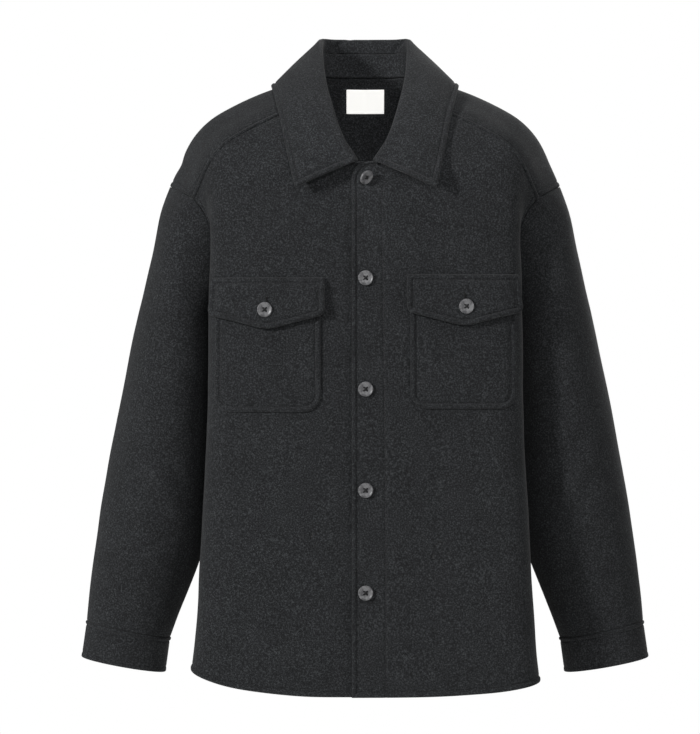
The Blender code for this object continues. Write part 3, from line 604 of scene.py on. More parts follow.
def line_on(cloth, edge, distance, start=0.0, stop=0.0, reach=None):
    """Points and normals of the line at a distance from one edge of the cloth.

    It leaves out its first and last stretch, or ends where it has run as far as reach.
    """
    field = getattr(cloth, edge)
    grids = [cloth.points, cloth.normals]
    if edge in ("bottom", "top"):
        field, grids = field.T, [grid.transpose(1, 0, 2) for grid in grids]
    found = []
    for r in range(len(field)):
        order = np.argsort(field[r])
        found.append([[np.interp(distance, field[r][order], grid[r][order, k]) for k in range(3)]
                      for grid in grids])
    path, lifts = np.array(found)[:, 0], np.array(found)[:, 1]
    run = run_along(path)
    keep = (run >= start) & (run <= (reach or run[-1] - stop))
    return path[keep], lifts[keep]


def sewn(name, lines, look=thread):
    """Runs of stitches along lines, as one piece."""
    vertices, faces = [], []
    for path, lifts in lines:
        run = run_along(path)
        firsts = np.arange(STITCH_PITCH / 2, run[-1] - STITCH_LENGTH, STITCH_PITCH)

        def at(values, distances):
            return np.stack([np.interp(distances, run, values[:, k]) for k in range(3)], axis=1)
        lift = at(lifts, firsts + STITCH_LENGTH / 2)
        lift /= np.linalg.norm(lift, axis=1, keepdims=True)
        more, quads = strand(at(path, firsts), at(path, firsts + STITCH_LENGTH), lift)
        base = sum(len(v) for v in vertices)
        vertices.append(more)
        faces += [tuple(i + base for i in face) for face in quads]
    return add_piece(name, np.concatenate(vertices), faces, look)


# Turnings. Inside each seam the cut edges of both pieces lie side by side on the wrong side
# of the cloth. Here they are one narrow ribbon, and they keep light from coming through.
TURNING_UNDER = 0.006    # the turnings inside a seam reach this far to both sides of it
TURNING_OVER = 0.005
TURNING_GAP = 0.0004
TURNING_WALL = 0.0010


def turned_in(name, cloth, edges, wall=WALL):
    """The turnings inside the seams at some edges of a cloth, which close the sight through them."""
    vertices, faces, start = [], [], 0
    for edge in edges:
        rim, lifts = line_on(cloth, edge, 0.0)
        under = line_on(cloth, edge, TURNING_UNDER)[0]
        way = (rim - under) / np.linalg.norm(rim - under, axis=1, keepdims=True)
        base = rim - lifts * (wall + TURNING_GAP)
        section = [base - way * TURNING_UNDER, base, base + way * TURNING_OVER]
        section += [line - lifts * TURNING_WALL for line in section[::-1]]
        vertices.append(np.stack(section, axis=1).reshape(-1, 3))
        faces += closed_tube(start, len(rim), len(section))
        start += len(rim) * len(section)
    return add_piece(name, np.concatenate(vertices), faces, wool)


TOP_OPEN = 0.026         # the front's top edge is bare up to the collar's end
TOP_FADE = 0.006
ARM_START = {"left": 0.470, "right": 0.455}    # the armhole starts here, from the hem
ARM_LINE = 0.0065
ARM_ROLL = 0.0006
ARM_GROOVE = 0.0008
PLACKET_GROOVE = 0.0010
PLACKET_FLAT = 0.030     # the buttoned edge stays flat
PLACKET_STOP = 0.050     # the collar hides the line's upper end
THREAD_END = 0.002
FADE = 0.05
FRONT_SWELL = 0.050      # size and height of the slow unevenness
FRONT_SWELL_HIGH = 0.0008
FRONT_SEED = {"left": 3.0, "right": -3.0}
FRONT_STEP = 0.0042
FRONT_CREASES = {
    "left": (
        (0.150, 0.640, 0.165, 0.330, 0.030, 0.0016),
        (0.100, 0.320, 0.120, 0.040, 0.038, -0.0018),
        (0.185, 0.300, 0.170, 0.020, 0.026, 0.0014),
        (0.060, 0.280, 0.055, 0.060, 0.024, 0.0010),
        (0.120, 0.620, 0.070, 0.500, 0.026, -0.0010),
    ),
    "right": (
        (0.140, 0.630, 0.160, 0.350, 0.028, 0.0017),
        (0.060, 0.340, 0.075, 0.050, 0.034, -0.0022),
        (0.150, 0.320, 0.160, 0.030, 0.030, 0.0018),
        (0.110, 0.180, 0.120, 0.020, 0.022, -0.0008),
        (0.050, 0.600, 0.060, 0.440, 0.024, -0.0012),
    ),
}
fronts = {}
for side, sign in (("left", 1), ("right", -1)):
    low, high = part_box("front_" + side)
    grid = walk("front_" + side, (-sign * 0.02, low.y, low.z), (sign * 0.21, 0, low.z))
    cloth = refined(grid, (EDGE_MARKS, EDGE_MARKS, FRONT_STEP),
                    (PLACKET_MARKS, EDGE_MARKS, FRONT_STEP))
    under_collar = np.clip((cloth.left - TOP_OPEN) / TOP_FADE, 0, 1)
    turned = np.minimum(np.minimum(cloth.left, cloth.bottom), cloth.top + under_collar)
    height = rolled(turned)
    at_arm = np.clip((cloth.bottom - ARM_START[side]) / TOP_FADE, 0, 1)
    height += rolled(cloth.right, ARM_LINE, ARM_ROLL, ARM_GROOVE) * at_arm
    if side == "left":
        height += sewn_groove(cloth.left, PLACKET_LINE, PLACKET_GROOVE)
    loose = np.clip((cloth.left - PLACKET_FLAT) / FADE, 0, 1) * np.clip(cloth.top / FADE, 0, 1)
    height += creased(cloth.left, cloth.bottom, FRONT_CREASES[side]) * loose
    height += uneven(cloth.points, FRONT_SWELL, FRONT_SWELL_HIGH, FRONT_SEED[side]) * loose
    fronts[side], = shell("front_" + side, [(cloth, height)],
                          turnings=(PLACKET_LINE, SEAM_TURNING, HEM_TURNING, SEAM_TURNING))
    front = fronts[side]
    lines = [line_on(front, "left", EDGE_LINE, EDGE_LINE, EDGE_LINE),
             line_on(front, "bottom", HEM_LINE, EDGE_LINE, THREAD_END),
             line_on(front, "top", EDGE_LINE, EDGE_LINE, reach=TOP_OPEN),
             line_on(front, "right", ARM_LINE, ARM_START[side], THREAD_END)]
    if side == "left":
        lines.append(line_on(front, "left", PLACKET_LINE, EDGE_LINE, PLACKET_STOP))
    sewn("stitches_front_" + side, lines)


# Back. It is one cut piece of the same flannel, from the hem to the yoke seam, with the hem
# turned and stitched. The photo doesn't show it, so its creases are guessed.
BACK_ARM_START = 0.470
BACK_SWELL = 0.060
BACK_SWELL_HIGH = 0.0010
BACK_SEED = 7.0
BACK_STEP = 0.0050
BACK_CREASES = (
    (0.200, 0.600, 0.230, 0.300, 0.040, -0.0022),
    (0.480, 0.600, 0.460, 0.280, 0.036, -0.0018),
    (0.300, 0.330, 0.330, 0.050, 0.034, 0.0020),
    (0.560, 0.300, 0.570, 0.030, 0.030, 0.0018),
    (0.130, 0.280, 0.120, 0.040, 0.028, 0.0016),
    (0.420, 0.260, 0.440, 0.060, 0.026, -0.0014),
)
low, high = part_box("back")
grid = walk("back", (low.x, 0, low.z), (high.x, 0, low.z))
cloth = refined(grid, (EDGE_MARKS, SEAM_MARKS, BACK_STEP), (EDGE_MARKS, EDGE_MARKS, BACK_STEP))
at_arm = np.clip((cloth.bottom - BACK_ARM_START) / TOP_FADE, 0, 1)
height = rolled(cloth.bottom, HEM_LINE)
for side_distance in (cloth.left, cloth.right):
    height += rolled(side_distance, ARM_LINE, ARM_ROLL, ARM_GROOVE) * at_arm
loose = np.clip(cloth.top / FADE, 0, 1)
height += creased(cloth.left, cloth.bottom, BACK_CREASES) * loose
height += uneven(cloth.points, BACK_SWELL, BACK_SWELL_HIGH, BACK_SEED) * loose
back, = shell("back", [(cloth, height)], turnings=(SEAM_TURNING, SEAM_TURNING, HEM_TURNING, SEAM_TURNING))
turned_in("turnings_back", back, ("left", "right", "top"))
sewn("stitches_back", [line_on(back, "bottom", HEM_LINE),
                       line_on(back, "left", ARM_LINE, BACK_ARM_START, THREAD_END),
                       line_on(back, "right", ARM_LINE, BACK_ARM_START, THREAD_END)])


# Yoke. It lies over both shoulders, and its lower edges are turned under and stitched
# down on the fronts and on the back.
YOKE_LINE = 0.0065
YOKE_ROLL = 0.0018
YOKE_GROOVE = 0.0016
YOKE_RIDGE_ROW = 1       # the solid's own ridge, which the finer one stands for
YOKE_CREASES = {         # across is from the armhole, up from the front seam
    1: ((0.030, 0.016, 0.036, 0.090, 0.011, -0.0012),
        (0.060, 0.120, 0.110, 0.210, 0.020, 0.0010)),
    -1: ((0.022, 0.010, 0.034, 0.110, 0.010, -0.0026),
         (0.050, 0.130, 0.100, 0.200, 0.022, 0.0012)),
}
patches = []
for sign in (1, -1):
    points, outward, tube = walk("yoke", (sign * 0.062, -0.045, -0.039), (sign * 0.2095, -0.058, -0.163),
                                 ((sign * 0.2065, 0.064, -0.174), (0, 0.118, -0.125)), sign)
    points = np.delete(points, YOKE_RIDGE_ROW, axis=0)
    neck_middle = int(np.argmax(np.abs(points[:, 0, 0]) < ON_MIDDLE))
    cloth = refined((points, outward, tube), (EDGE_MARKS, EDGE_MARKS, FRONT_STEP),
                    (SEAM_MARKS, EDGE_MARKS, FRONT_STEP), neck_middle)
    height = rolled(cloth.bottom, YOKE_LINE, YOKE_ROLL, YOKE_GROOVE)
    height += rolled(cloth.top, YOKE_LINE, YOKE_ROLL, YOKE_GROOVE)
    inside = np.clip(np.minimum(cloth.bottom, cloth.top) / (2 * YOKE_LINE) - 0.5, 0, 1)
    height += rolled(cloth.right, ARM_LINE, ARM_ROLL, ARM_GROOVE) * inside
    patches.append((cloth, height + creased(cloth.right, cloth.bottom, YOKE_CREASES[sign])))
yoke = shell("yoke", patches, turnings=(0.0, 2 * SEAM_TURNING, SEAM_TURNING, SEAM_TURNING))
sewn("stitches_yoke", [line_on(half, edge, YOKE_LINE, THREAD_END, THREAD_END)
                       for half in yoke for edge in ("bottom", "top")]
     + [line_on(half, "right", ARM_LINE, 2 * YOKE_LINE, 2 * YOKE_LINE) for half in yoke])


# Sleeves. Each is one cut piece, closed by a seam under the arm and set into the
# armhole, where the body is turned under and stitched down beside the seam.
SLEEVE_SWELL = 0.055
SLEEVE_SWELL_HIGH = 0.0010
SLEEVE_SEED = 11.0
SLEEVE_STEP = 0.0048
ROUND_MARKS = (0.0,)     # a tube has no edge along it
SLEEVE_CREASES = (
    (0.060, 0.240, 0.180, 0.300, 0.014, -0.0022),
    (0.050, 0.280, 0.190, 0.330, 0.013, 0.0016),
    (0.080, 0.330, 0.170, 0.345, 0.013, -0.0014),
    (0.250, 0.230, 0.360, 0.300, 0.016, -0.0018),
    (0.040, 0.060, 0.110, 0.130, 0.016, 0.0016),
    (0.300, 0.050, 0.240, 0.160, 0.022, -0.0018),
)
sleeves = {}
for side, sign in (("left", 1), ("right", -1)):
    grid = walk("sleeve_" + side, (sign * 0.18, 0, -0.333), (sign * 0.18, -0.03, -0.32))
    cloth = refined(grid, (EDGE_MARKS, SEAM_MARKS, SLEEVE_STEP),
                    (ROUND_MARKS, ROUND_MARKS, SLEEVE_STEP))
    around = run_along(cloth.points, 1)
    loose = np.clip(cloth.bottom / FADE, 0, 1) * np.clip(cloth.top / FADE, 0, 1)
    height = creased(around, cloth.bottom, SLEEVE_CREASES) * loose
    height += uneven(cloth.points, SLEEVE_SWELL, SLEEVE_SWELL_HIGH, sign * SLEEVE_SEED) * loose
    sleeves[side], = shell("sleeve_" + side, [(cloth, height)], tube=True)
    turned_in("turnings_sleeve_" + side, sleeves[side], ("bottom", "top"))


# Cuffs. A folded band is sewn round each sleeve's end, with no opening and no button.
CUFF_WALL = 0.0028
CUFF_LINE = 0.0050
CUFF_FOLD = 0.00045
CUFF_GROOVE = 0.0003
CUFF_TURNING = 0.006
CUFF_STEP_UP = 0.0030
CUFF_STEP_ROUND = 0.0040
for side, sign in (("left", 1), ("right", -1)):
    grid = walk("cuff_" + side, (sign * 0.243, 0, -0.705), (sign * 0.25, -0.03, -0.70))
    cloth = refined(grid, (EDGE_MARKS, EDGE_MARKS, CUFF_STEP_UP),
                    (ROUND_MARKS, ROUND_MARKS, CUFF_STEP_ROUND))
    height = rolled(cloth.bottom, CUFF_LINE) + rolled(cloth.top, HEM_LINE, CUFF_FOLD, CUFF_GROOVE)
    cuff, = shell("cuff_" + side, [(cloth, height)], CUFF_WALL, True, CUFF_TURNING)
    sewn("stitches_cuff_" + side, [line_on(cuff, "bottom", CUFF_LINE)])


# Collar. The stand is sewn to the neck, and the leaf to the stand just below the fold.
# Both are two plies with interlining between, turned out and stitched round the edge.
COLLAR_WALL = 0.0028
COLLAR_LINE = 0.0066
COLLAR_TURNING = 0.003   # the seams are trimmed narrow, so that the edges turn out sharp
STAND_LINE = 0.0040      # from the neck seam
STAND_ROLL = 0.0008
STAND_GROOVE = 0.0006
FOLD_PAST = 0.012        # the rim starts just past the collar's fold
FOLD_FADE = 0.006
BACK_DENT = 0.046        # two short dents beside the middle of the back, where the collar turns
LEAF_SINK = (0.0, -0.0035, -0.0065)  # the leaf's inner front ends sag onto the fronts
LEAF_STAND = 0.004
LEAF_SINK_RUN = 0.06
LEAF_RIM_ROWS = (1, 2, -3, -2)       # lines of the solid that only carry its rim
LEAF_RIM_COLUMNS = (-3, -2)
COLLAR_END_BARE = 0.012  # the end stitches start this far from the fold
STAND_STEPS = (0.0030, 0.0025)       # up and across
LEAF_STEPS = (0.0032, 0.0022)
points, outward, tube = walk("collar_stand", (0.016, -0.105, -0.117), (0.014, -0.104, -0.115))
cloth = refined((points, outward, tube), (SEAM_MARKS, SEAM_MARKS, STAND_STEPS[0]),
                (SEAM_MARKS, SEAM_MARKS, STAND_STEPS[1]))
if cloth.normals[len(cloth.normals) // 2, 0, 1] > 0:    # its line of stitches faces the neck
    cloth = cloth._replace(points=cloth.points - cloth.normals * COLLAR_WALL, normals=-cloth.normals)
shell("collar_stand", [(cloth, rolled(cloth.left, STAND_LINE, STAND_ROLL, STAND_GROOVE))],
      COLLAR_WALL, turnings=COLLAR_TURNING)
points, outward, tube = walk("collar_leaf", (0.014, -0.104, -0.115), (0.085, -0.12, -0.15))
points = np.delete(points, [r % len(points) for r in LEAF_RIM_ROWS], axis=0)
points = np.delete(points, [c % points.shape[1] for c in LEAF_RIM_COLUMNS], axis=1)
for ends in (points, points[::-1]):
    run = np.linalg.norm(ends[:, 0] - ends[0, 0], axis=1)[:, None]
    across = np.cumsum(np.linalg.norm(np.diff(ends[0], axis=0, prepend=ends[0, :1]), axis=1))[None]
    across /= across.max()
    sunk = np.clip(1 - run / LEAF_SINK_RUN, 0, 1) ** 2 * (1 - across)
    ends += sunk[..., None] * np.array(LEAF_SINK)
    ends[..., 1] -= LEAF_STAND * np.clip(1 - run / LEAF_SINK_RUN, 0, 1) * across ** 2
cloth = refined((points, outward, tube), (EDGE_MARKS, EDGE_MARKS, LEAF_STEPS[0]),
                (SEAM_MARKS, EDGE_MARKS, LEAF_STEPS[1]))
middle = float(cloth.bottom[-1, 4]) / 2
dents = ((-0.006, middle - BACK_DENT + 0.004, 0.022, middle - BACK_DENT + 0.006, 0.0030, -0.0050),
         (-0.006, middle + BACK_DENT - 0.010, 0.022, middle + BACK_DENT - 0.006, 0.0034, -0.0050),
         (-0.004, middle - 0.010, 0.014, middle - 0.006, 0.0080, -0.0012))
on_leaf = np.clip((cloth.left - FOLD_PAST) / FOLD_FADE, 0, 1)
edge = np.minimum(cloth.right, np.minimum(cloth.bottom, cloth.top) + 1 - on_leaf)
height = rolled(edge, COLLAR_LINE) + creased(cloth.left, cloth.bottom, dents)
leaf, = shell("collar_leaf", [(cloth, height)], COLLAR_WALL, turnings=COLLAR_TURNING)
sewn("stitches_collar", [line_on(leaf, "right", COLLAR_LINE, COLLAR_LINE, COLLAR_LINE),
                         line_on(leaf, "bottom", COLLAR_LINE, COLLAR_END_BARE, COLLAR_LINE),
                         line_on(leaf, "top", COLLAR_LINE, COLLAR_END_BARE, COLLAR_LINE)])


# Chest pockets. Each bag is one ply of the cloth, turned under and stitched down round its
# sides and foot. Its flap is two plies, bagged out to a blunt point, stitched round its edge
# and sewn down along the top, and it hangs free over the bag.
LAP = 0.0165             # each front edge lies this far past the middle
POCKET_MIDDLE = 0.1202   # from the middle of the front, along the cloth
FLAP_TOP_Z = {"left": -0.2565, "right": -0.2605}
BAG_TOP = 0.016          # below the flap's top
BAG_DEPTH = 0.146
BAG_HALF = 0.0645
BAG_ROUND = 0.021
BAG_LIFT = 0.0004
BAG_WALL = 0.0015
BAG_SWELL = 0.0008       # the bag stands a little off the front inside its stitches
FLAP_HALF = 0.0688
FLAP_SIDE = 0.0453       # down to where the side and the lower edge would meet
FLAP_POINT = 0.0632
FLAP_ROUND = 0.009
FLAP_POINT_ROUND = 0.045
FLAP_FOLD = 0.0128       # from its top, the flap has come up over the bag's edge here
FLAP_OVER_BAG = 0.0040
FLAP_STAND = 0.0030      # how much further the free edge stands off
PATCH_LINE = 0.0066
PATCH_ROLL = 0.0014
PATCH_GROOVE = 0.0012
BAG_TURNING = 0.012
FLAP_TURNING = 0.006     # trimmed before the flap is turned out
RIM_RINGS = (0.0, 0.0004, 0.0010, 0.0020, 0.0035, 0.0050, 0.0060, 0.0066, 0.0072, 0.0082)
INNER_RINGS = 14
OUTLINE_STEP = 0.0022
ARC_STEP = 0.0010
CHART_STEP = 0.002
CHART_FOOT = 0.03        # the chart of a front starts this far above its hem,
CHART_TOP = -0.125       # ends at this height
CHART_RUN = 0.215        # and reaches this far from the front edge
PATCH_UNEVEN = 0.0004    # height of the cloth's unevenness, and its size on bag and flap
BAG_UNEVEN = 0.035
FLAP_UNEVEN = 0.030
PATCH_FADE = 0.01
BAG_SWELL_FADE = 0.03
Chart = namedtuple("Chart", "first_run first_level points normals")
BAG_OUTLINE = (          # each corner is a place across and down, and how it is rounded
    (-BAG_HALF, 0, 0),
    (-BAG_HALF, BAG_DEPTH, BAG_ROUND),
    (BAG_HALF, BAG_DEPTH, BAG_ROUND),
    (BAG_HALF, 0, 0),
)
FLAP_OUTLINE = (
    (-FLAP_HALF, 0, 0),
    (-FLAP_HALF, FLAP_SIDE, FLAP_ROUND),
    (0, FLAP_POINT, FLAP_POINT_ROUND),
    (FLAP_HALF, FLAP_SIDE, FLAP_ROUND),
    (FLAP_HALF, 0, 0),
)


def smooth(share):
    share = np.clip(share, 0, 1)
    return share * share * (3 - 2 * share)


def chart_of(front):
    """Points and normals of a front at even distances from its edge and even heights."""
    levels = np.arange(front.points[..., 2].min() + CHART_FOOT, CHART_TOP, CHART_STEP)
    columns = []
    for c in range(front.points.shape[1]):
        highest = int(front.points[:, c, 2].argmax()) + 1
        z = front.points[:highest, c, 2]
        columns.append(np.stack([np.interp(levels, z, grid[:highest, c, k])
                                 for grid in (front.points, front.normals) for k in range(3)], axis=1))
    rows = np.stack(columns, axis=1)
    runs = np.arange(CHART_STEP, CHART_RUN, CHART_STEP)
    sampled = []
    for row in rows:
        run = run_along(row[:, :3])
        sampled.append(np.stack([np.interp(runs, run, row[:, k]) for k in range(6)], axis=1))
    sampled = np.array(sampled)
    return Chart(runs[0], levels[0], sampled[..., :3], sampled[..., 3:])


def on_chart(chart, along, level):
    """Point and normal of a front at each distance from the middle and each height."""
    i = (np.asarray(level) - chart.first_level) / CHART_STEP
    j = (np.asarray(along) + LAP - chart.first_run) / CHART_STEP
    rows, cols = chart.points.shape[:2]
    i0, j0 = np.clip(i.astype(int), 0, rows - 2), np.clip(j.astype(int), 0, cols - 2)
    v, u = (i - i0)[..., None], (j - j0)[..., None]
    found = [(grid[i0, j0] * (1 - u) + grid[i0, j0 + 1] * u) * (1 - v)
             + (grid[i0 + 1, j0] * (1 - u) + grid[i0 + 1, j0 + 1] * u) * v
             for grid in (chart.points, chart.normals)]
    return found[0], found[1] / np.linalg.norm(found[1], axis=-1, keepdims=True)


def rounded_outline(corners):
    """The points of a closed outline with its corners turned by arcs, the way that each of them
    moves inwards, and how many steps each of its straight runs takes."""
    points = []
    for n, (across, down, radius) in enumerate(corners):
        here = np.array((across, down))
        before = np.array(corners[n - 1][:2]) - here
        after = np.array(corners[(n + 1) % len(corners)][:2]) - here
        before, after = before / np.linalg.norm(before), after / np.linalg.norm(after)
        if not radius:
            points.append(here)
            continue
        half = math.acos(before @ after) / 2
        middle = here + (before + after) / np.linalg.norm(before + after) * radius / math.sin(half)
        first = here + before * radius / math.tan(half) - middle
        last = here + after * radius / math.tan(half) - middle
        turn = math.pi - 2 * half
        steps = max(4, round(turn * radius / ARC_STEP))
        for share in np.linspace(0, 1, steps + 1):
            spoke = first * math.sin((1 - share) * turn) + last * math.sin(share * turn)
            points.append(middle + spoke / math.sin(turn))
    points = np.array(points)
    run = np.roll(points, -1, axis=0) - points
    length = np.linalg.norm(run, axis=1)
    inward = np.stack([run[:, 1], -run[:, 0]], axis=1) / length[:, None]
    if (inward * (points.mean(axis=0) - points)).sum() < 0:
        inward = -inward
    earlier = np.roll(inward, 1, axis=0)
    ways = (inward + earlier) / (1 + (inward * earlier).sum(axis=1))[:, None]
    return points, ways, np.maximum(1, np.round(length / OUTLINE_STEP)).astype(int)


def laid_patch(chart, corners, top_z, lift_at, wall):
    """A patch on a front, as rings from its outline to its middle, a wall above its lift."""
    points, ways, steps = rounded_outline(corners)
    rings = []
    for distance in RIM_RINGS:
        moved = points + ways * distance
        rings.append(np.concatenate([a + (b - a) * np.arange(count)[:, None] / count
                                     for a, b, count in zip(moved, np.roll(moved, -1, axis=0), steps)]))
    middle = (points.max(axis=0) + points.min(axis=0)) / 2
    rings += [rings[-1] + (middle - rings[-1]) * k / INNER_RINGS for k in range(1, INNER_RINGS + 1)]
    spots = np.array(rings)
    spots = np.concatenate([spots, spots[:, :1]], axis=1)
    inner = RIM_RINGS[-1] + np.arange(1, INNER_RINGS + 1) * (middle[1] / INNER_RINGS)
    depth = np.concatenate([RIM_RINGS, inner])[:, None] + np.zeros(spots.shape[1])
    points, normals = on_chart(chart, POCKET_MIDDLE + spots[..., 0], top_z - spots[..., 1])
    points = points + normals * (lift_at(spots[..., 1]) + wall)[..., None]
    return Cloth(points, normals, depth, depth, depth, depth)


def flap_lift(down):
    free = smooth((down - BAG_TOP) / (FLAP_SIDE - BAG_TOP))
    return BAG_LIFT + (FLAP_OVER_BAG - BAG_LIFT) * smooth(down / FLAP_FOLD) + FLAP_STAND * free


charts = {side: chart_of(front) for side, front in fronts.items()}
for side, chart in charts.items():
    top_z = FLAP_TOP_Z[side]
    bag = laid_patch(chart, BAG_OUTLINE, top_z - BAG_TOP, lambda down: BAG_LIFT + 0 * down, BAG_WALL)
    inside = bag.left - PATCH_LINE
    height = rolled(bag.left, PATCH_LINE, PATCH_ROLL, PATCH_GROOVE)
    height += BAG_SWELL * smooth(inside / BAG_SWELL_FADE)
    height += uneven(bag.points, BAG_UNEVEN, PATCH_UNEVEN, FRONT_SEED[side]) * smooth(inside / PATCH_FADE)
    bag, = shell("pocket_" + side, [(bag, height)], BAG_WALL, True, BAG_TURNING, (2 * BAG_HALF, BAG_DEPTH))
    sewn("stitches_pocket_" + side, [line_on(bag, "bottom", PATCH_LINE)])

    flap = laid_patch(chart, FLAP_OUTLINE, top_z, flap_lift, WALL)
    inside = flap.left - PATCH_LINE
    height = rolled(flap.left, PATCH_LINE, PATCH_ROLL, PATCH_GROOVE)
    height += uneven(flap.points, FLAP_UNEVEN, PATCH_UNEVEN, FRONT_SEED[side]) * smooth(inside / PATCH_FADE)
    flap, = shell("flap_" + side, [(flap, height)], WALL, True, FLAP_TURNING, (2 * FLAP_HALF, FLAP_POINT))
    sewn("stitches_flap_" + side, [line_on(flap, "bottom", PATCH_LINE)])


# Buttons. Each is turned from a blank of grey horn-like polyester, with a raised rim, a
# dished face and four drilled holes, and is sewn on crosswise with a darker thread.
BUTTON_RADIUS = 0.0090
BUTTON_THICK = 0.0034
BUTTON_RIM = 0.0017
BUTTON_DISH = 0.0009
HOLE_RADIUS = 0.0010
HOLE_ASIDE = 0.0020
LEANING = math.radians(25)         # a button that tips more has a loose thread,
LEAN_MORE = math.radians(17)       # and it tips this much further than its solid
POCKET_BUTTON_IN = 0.0033          # the pocket's buttons sit this much nearer the middle
BUTTON_SIDES = 56
BACK_SHARE = 0.80        # the flat of the back, then the height where the side bulges most
SIDE_SHARE = 0.45
DRILL_SIDES = 20
HORN_DARK = "#4c4c4e"
HORN_PALE = "#7a7a7c"
HORN_CLOUD = 0.004       # drawn coarser than in the real blank, so that it shows
THREAD_DARK = "#141416"
CROSS_THREADS = 3
CROSS_APART = 1.7        # times their radius
CROSS_SLANT = 0.7
CROSS_RADIUS = 0.00040
CROSS_TWIST = 0.0003
CROSS_ARCH = ((0.0, -4.0, 1.0), (0.16, 0.4, 1.0), (0.5, 1.3, 1.0), (0.84, 0.4, 1.0), (1.0, -4.0, 1.0))

horn, tree = new_material("grey horn polyester, turned and polished")
cloud = pattern(tree, HORN_CLOUD, {"Detail": 3.0, "Distortion": 0.6})
worn = add_node(tree, "ShaderNodeMapRange", {"To Min": 0.26, "To Max": 0.42}, {"Value": cloud.outputs["Fac"]})
surfaced(tree, {"IOR": 1.55}, {"Base Color": shaded(tree, cloud, ((0.35, HORN_DARK), (0.68, HORN_PALE))),
                               "Roughness": worn.outputs["Result"]})

cross_thread, tree = new_material("dark waxed button thread")
twist = add_node(tree, "ShaderNodeTexNoise", {"Scale": 1 / CROSS_TWIST})
surfaced(tree, {"Base Color": linear(THREAD_DARK), "Roughness": 0.55},
         {"Normal": bumped(tree, twist, 0.4, TWIST_DEPTH)})


def turned_button():
    """The button's mesh, face up, its back at the origin."""
    flat = BUTTON_RADIUS - BUTTON_RIM
    half_rim = BUTTON_RIM / 2
    profile = [(0, 0), (BUTTON_RADIUS * BACK_SHARE, 0)]
    profile += [(BUTTON_RADIUS * (BACK_SHARE + (1 - BACK_SHARE) * math.sin(a)),
                 BUTTON_THICK * SIDE_SHARE * (1 - math.cos(a)))
                for a in np.linspace(0.25, math.pi / 2, 6)]
    profile += [(BUTTON_RADIUS - half_rim + half_rim * math.cos(a),
                 BUTTON_THICK - half_rim * (1 - math.sin(a)))
                for a in np.linspace(0.15, math.pi * 0.72, 9)]
    dish = BUTTON_THICK - BUTTON_DISH
    profile += [(flat * 0.86, dish + BUTTON_DISH * 0.16), (flat * 0.66, dish), (0, dish)]
    bm = bmesh.new()
    verts = [bm.verts.new((radius, 0, height)) for radius, height in profile]
    for a, b in zip(verts, verts[1:]):
        bm.edges.new((a, b))
    bmesh.ops.spin(bm, geom=bm.verts[:] + bm.edges[:], cent=(0, 0, 0), axis=(0, 0, 1),
                   angle=math.tau, steps=BUTTON_SIDES, use_merge=True)
    blank = bpy.data.meshes.new("button_blank")
    sealed(bm, blank)
    bm = bmesh.new()
    for x in (-HOLE_ASIDE, HOLE_ASIDE):
        for y in (-HOLE_ASIDE, HOLE_ASIDE):
            drilled = bmesh.ops.create_cone(bm, cap_ends=True, segments=DRILL_SIDES, radius1=HOLE_RADIUS,
                                            radius2=HOLE_RADIUS, depth=4 * BUTTON_THICK)
            bmesh.ops.translate(bm, verts=drilled["verts"], vec=(x, y, 0))
    drills = bpy.data.meshes.new("drills")
    bm.to_mesh(drills)
    bm.free()
    body, tool = bpy.data.objects.new("blank", blank), bpy.data.objects.new("drills", drills)
    for each in (body, tool):
        bpy.context.scene.collection.objects.link(each)
    cut = body.modifiers.new("holes", "BOOLEAN")
    cut.operation = "DIFFERENCE"
    cut.object = tool
    mesh = bpy.data.meshes.new_from_object(body.evaluated_get(bpy.context.evaluated_depsgraph_get()))
    for each in (body, tool):
        bpy.data.objects.remove(each)
    mesh.name = "turned_button"
    mesh.shade_smooth()
    mesh.set_sharp_from_angle(angle=math.radians(38))
    mesh.materials.clear()
    mesh.materials.append(horn)
    return mesh


def button_frame(node):
    """Middle of a button's back and the way that its face looks, from its solid."""
    found = np.array([v.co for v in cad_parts[node].data.vertices])
    middle = (found.max(axis=0) + found.min(axis=0)) / 2
    axis = np.linalg.svd(found - found.mean(axis=0))[2][-1]
    if axis[1] > 0:
        axis = -axis
    along = (found - middle) @ axis
    back_middle = middle + axis * along.min()
    if "pocket" in node:
        back_middle[0] -= math.copysign(POCKET_BUTTON_IN, back_middle[0])
    lean = math.acos(-axis[1])
    if lean > LEANING:
        aside = np.array((axis[0], 0.0, axis[2])) / math.hypot(axis[0], axis[2])
        back_middle[1] -= BUTTON_RADIUS * (math.sin(lean + LEAN_MORE) - math.sin(lean))
        axis = aside * math.sin(lean + LEAN_MORE) - np.array((0.0, math.cos(lean + LEAN_MORE), 0.0))
    return back_middle, axis


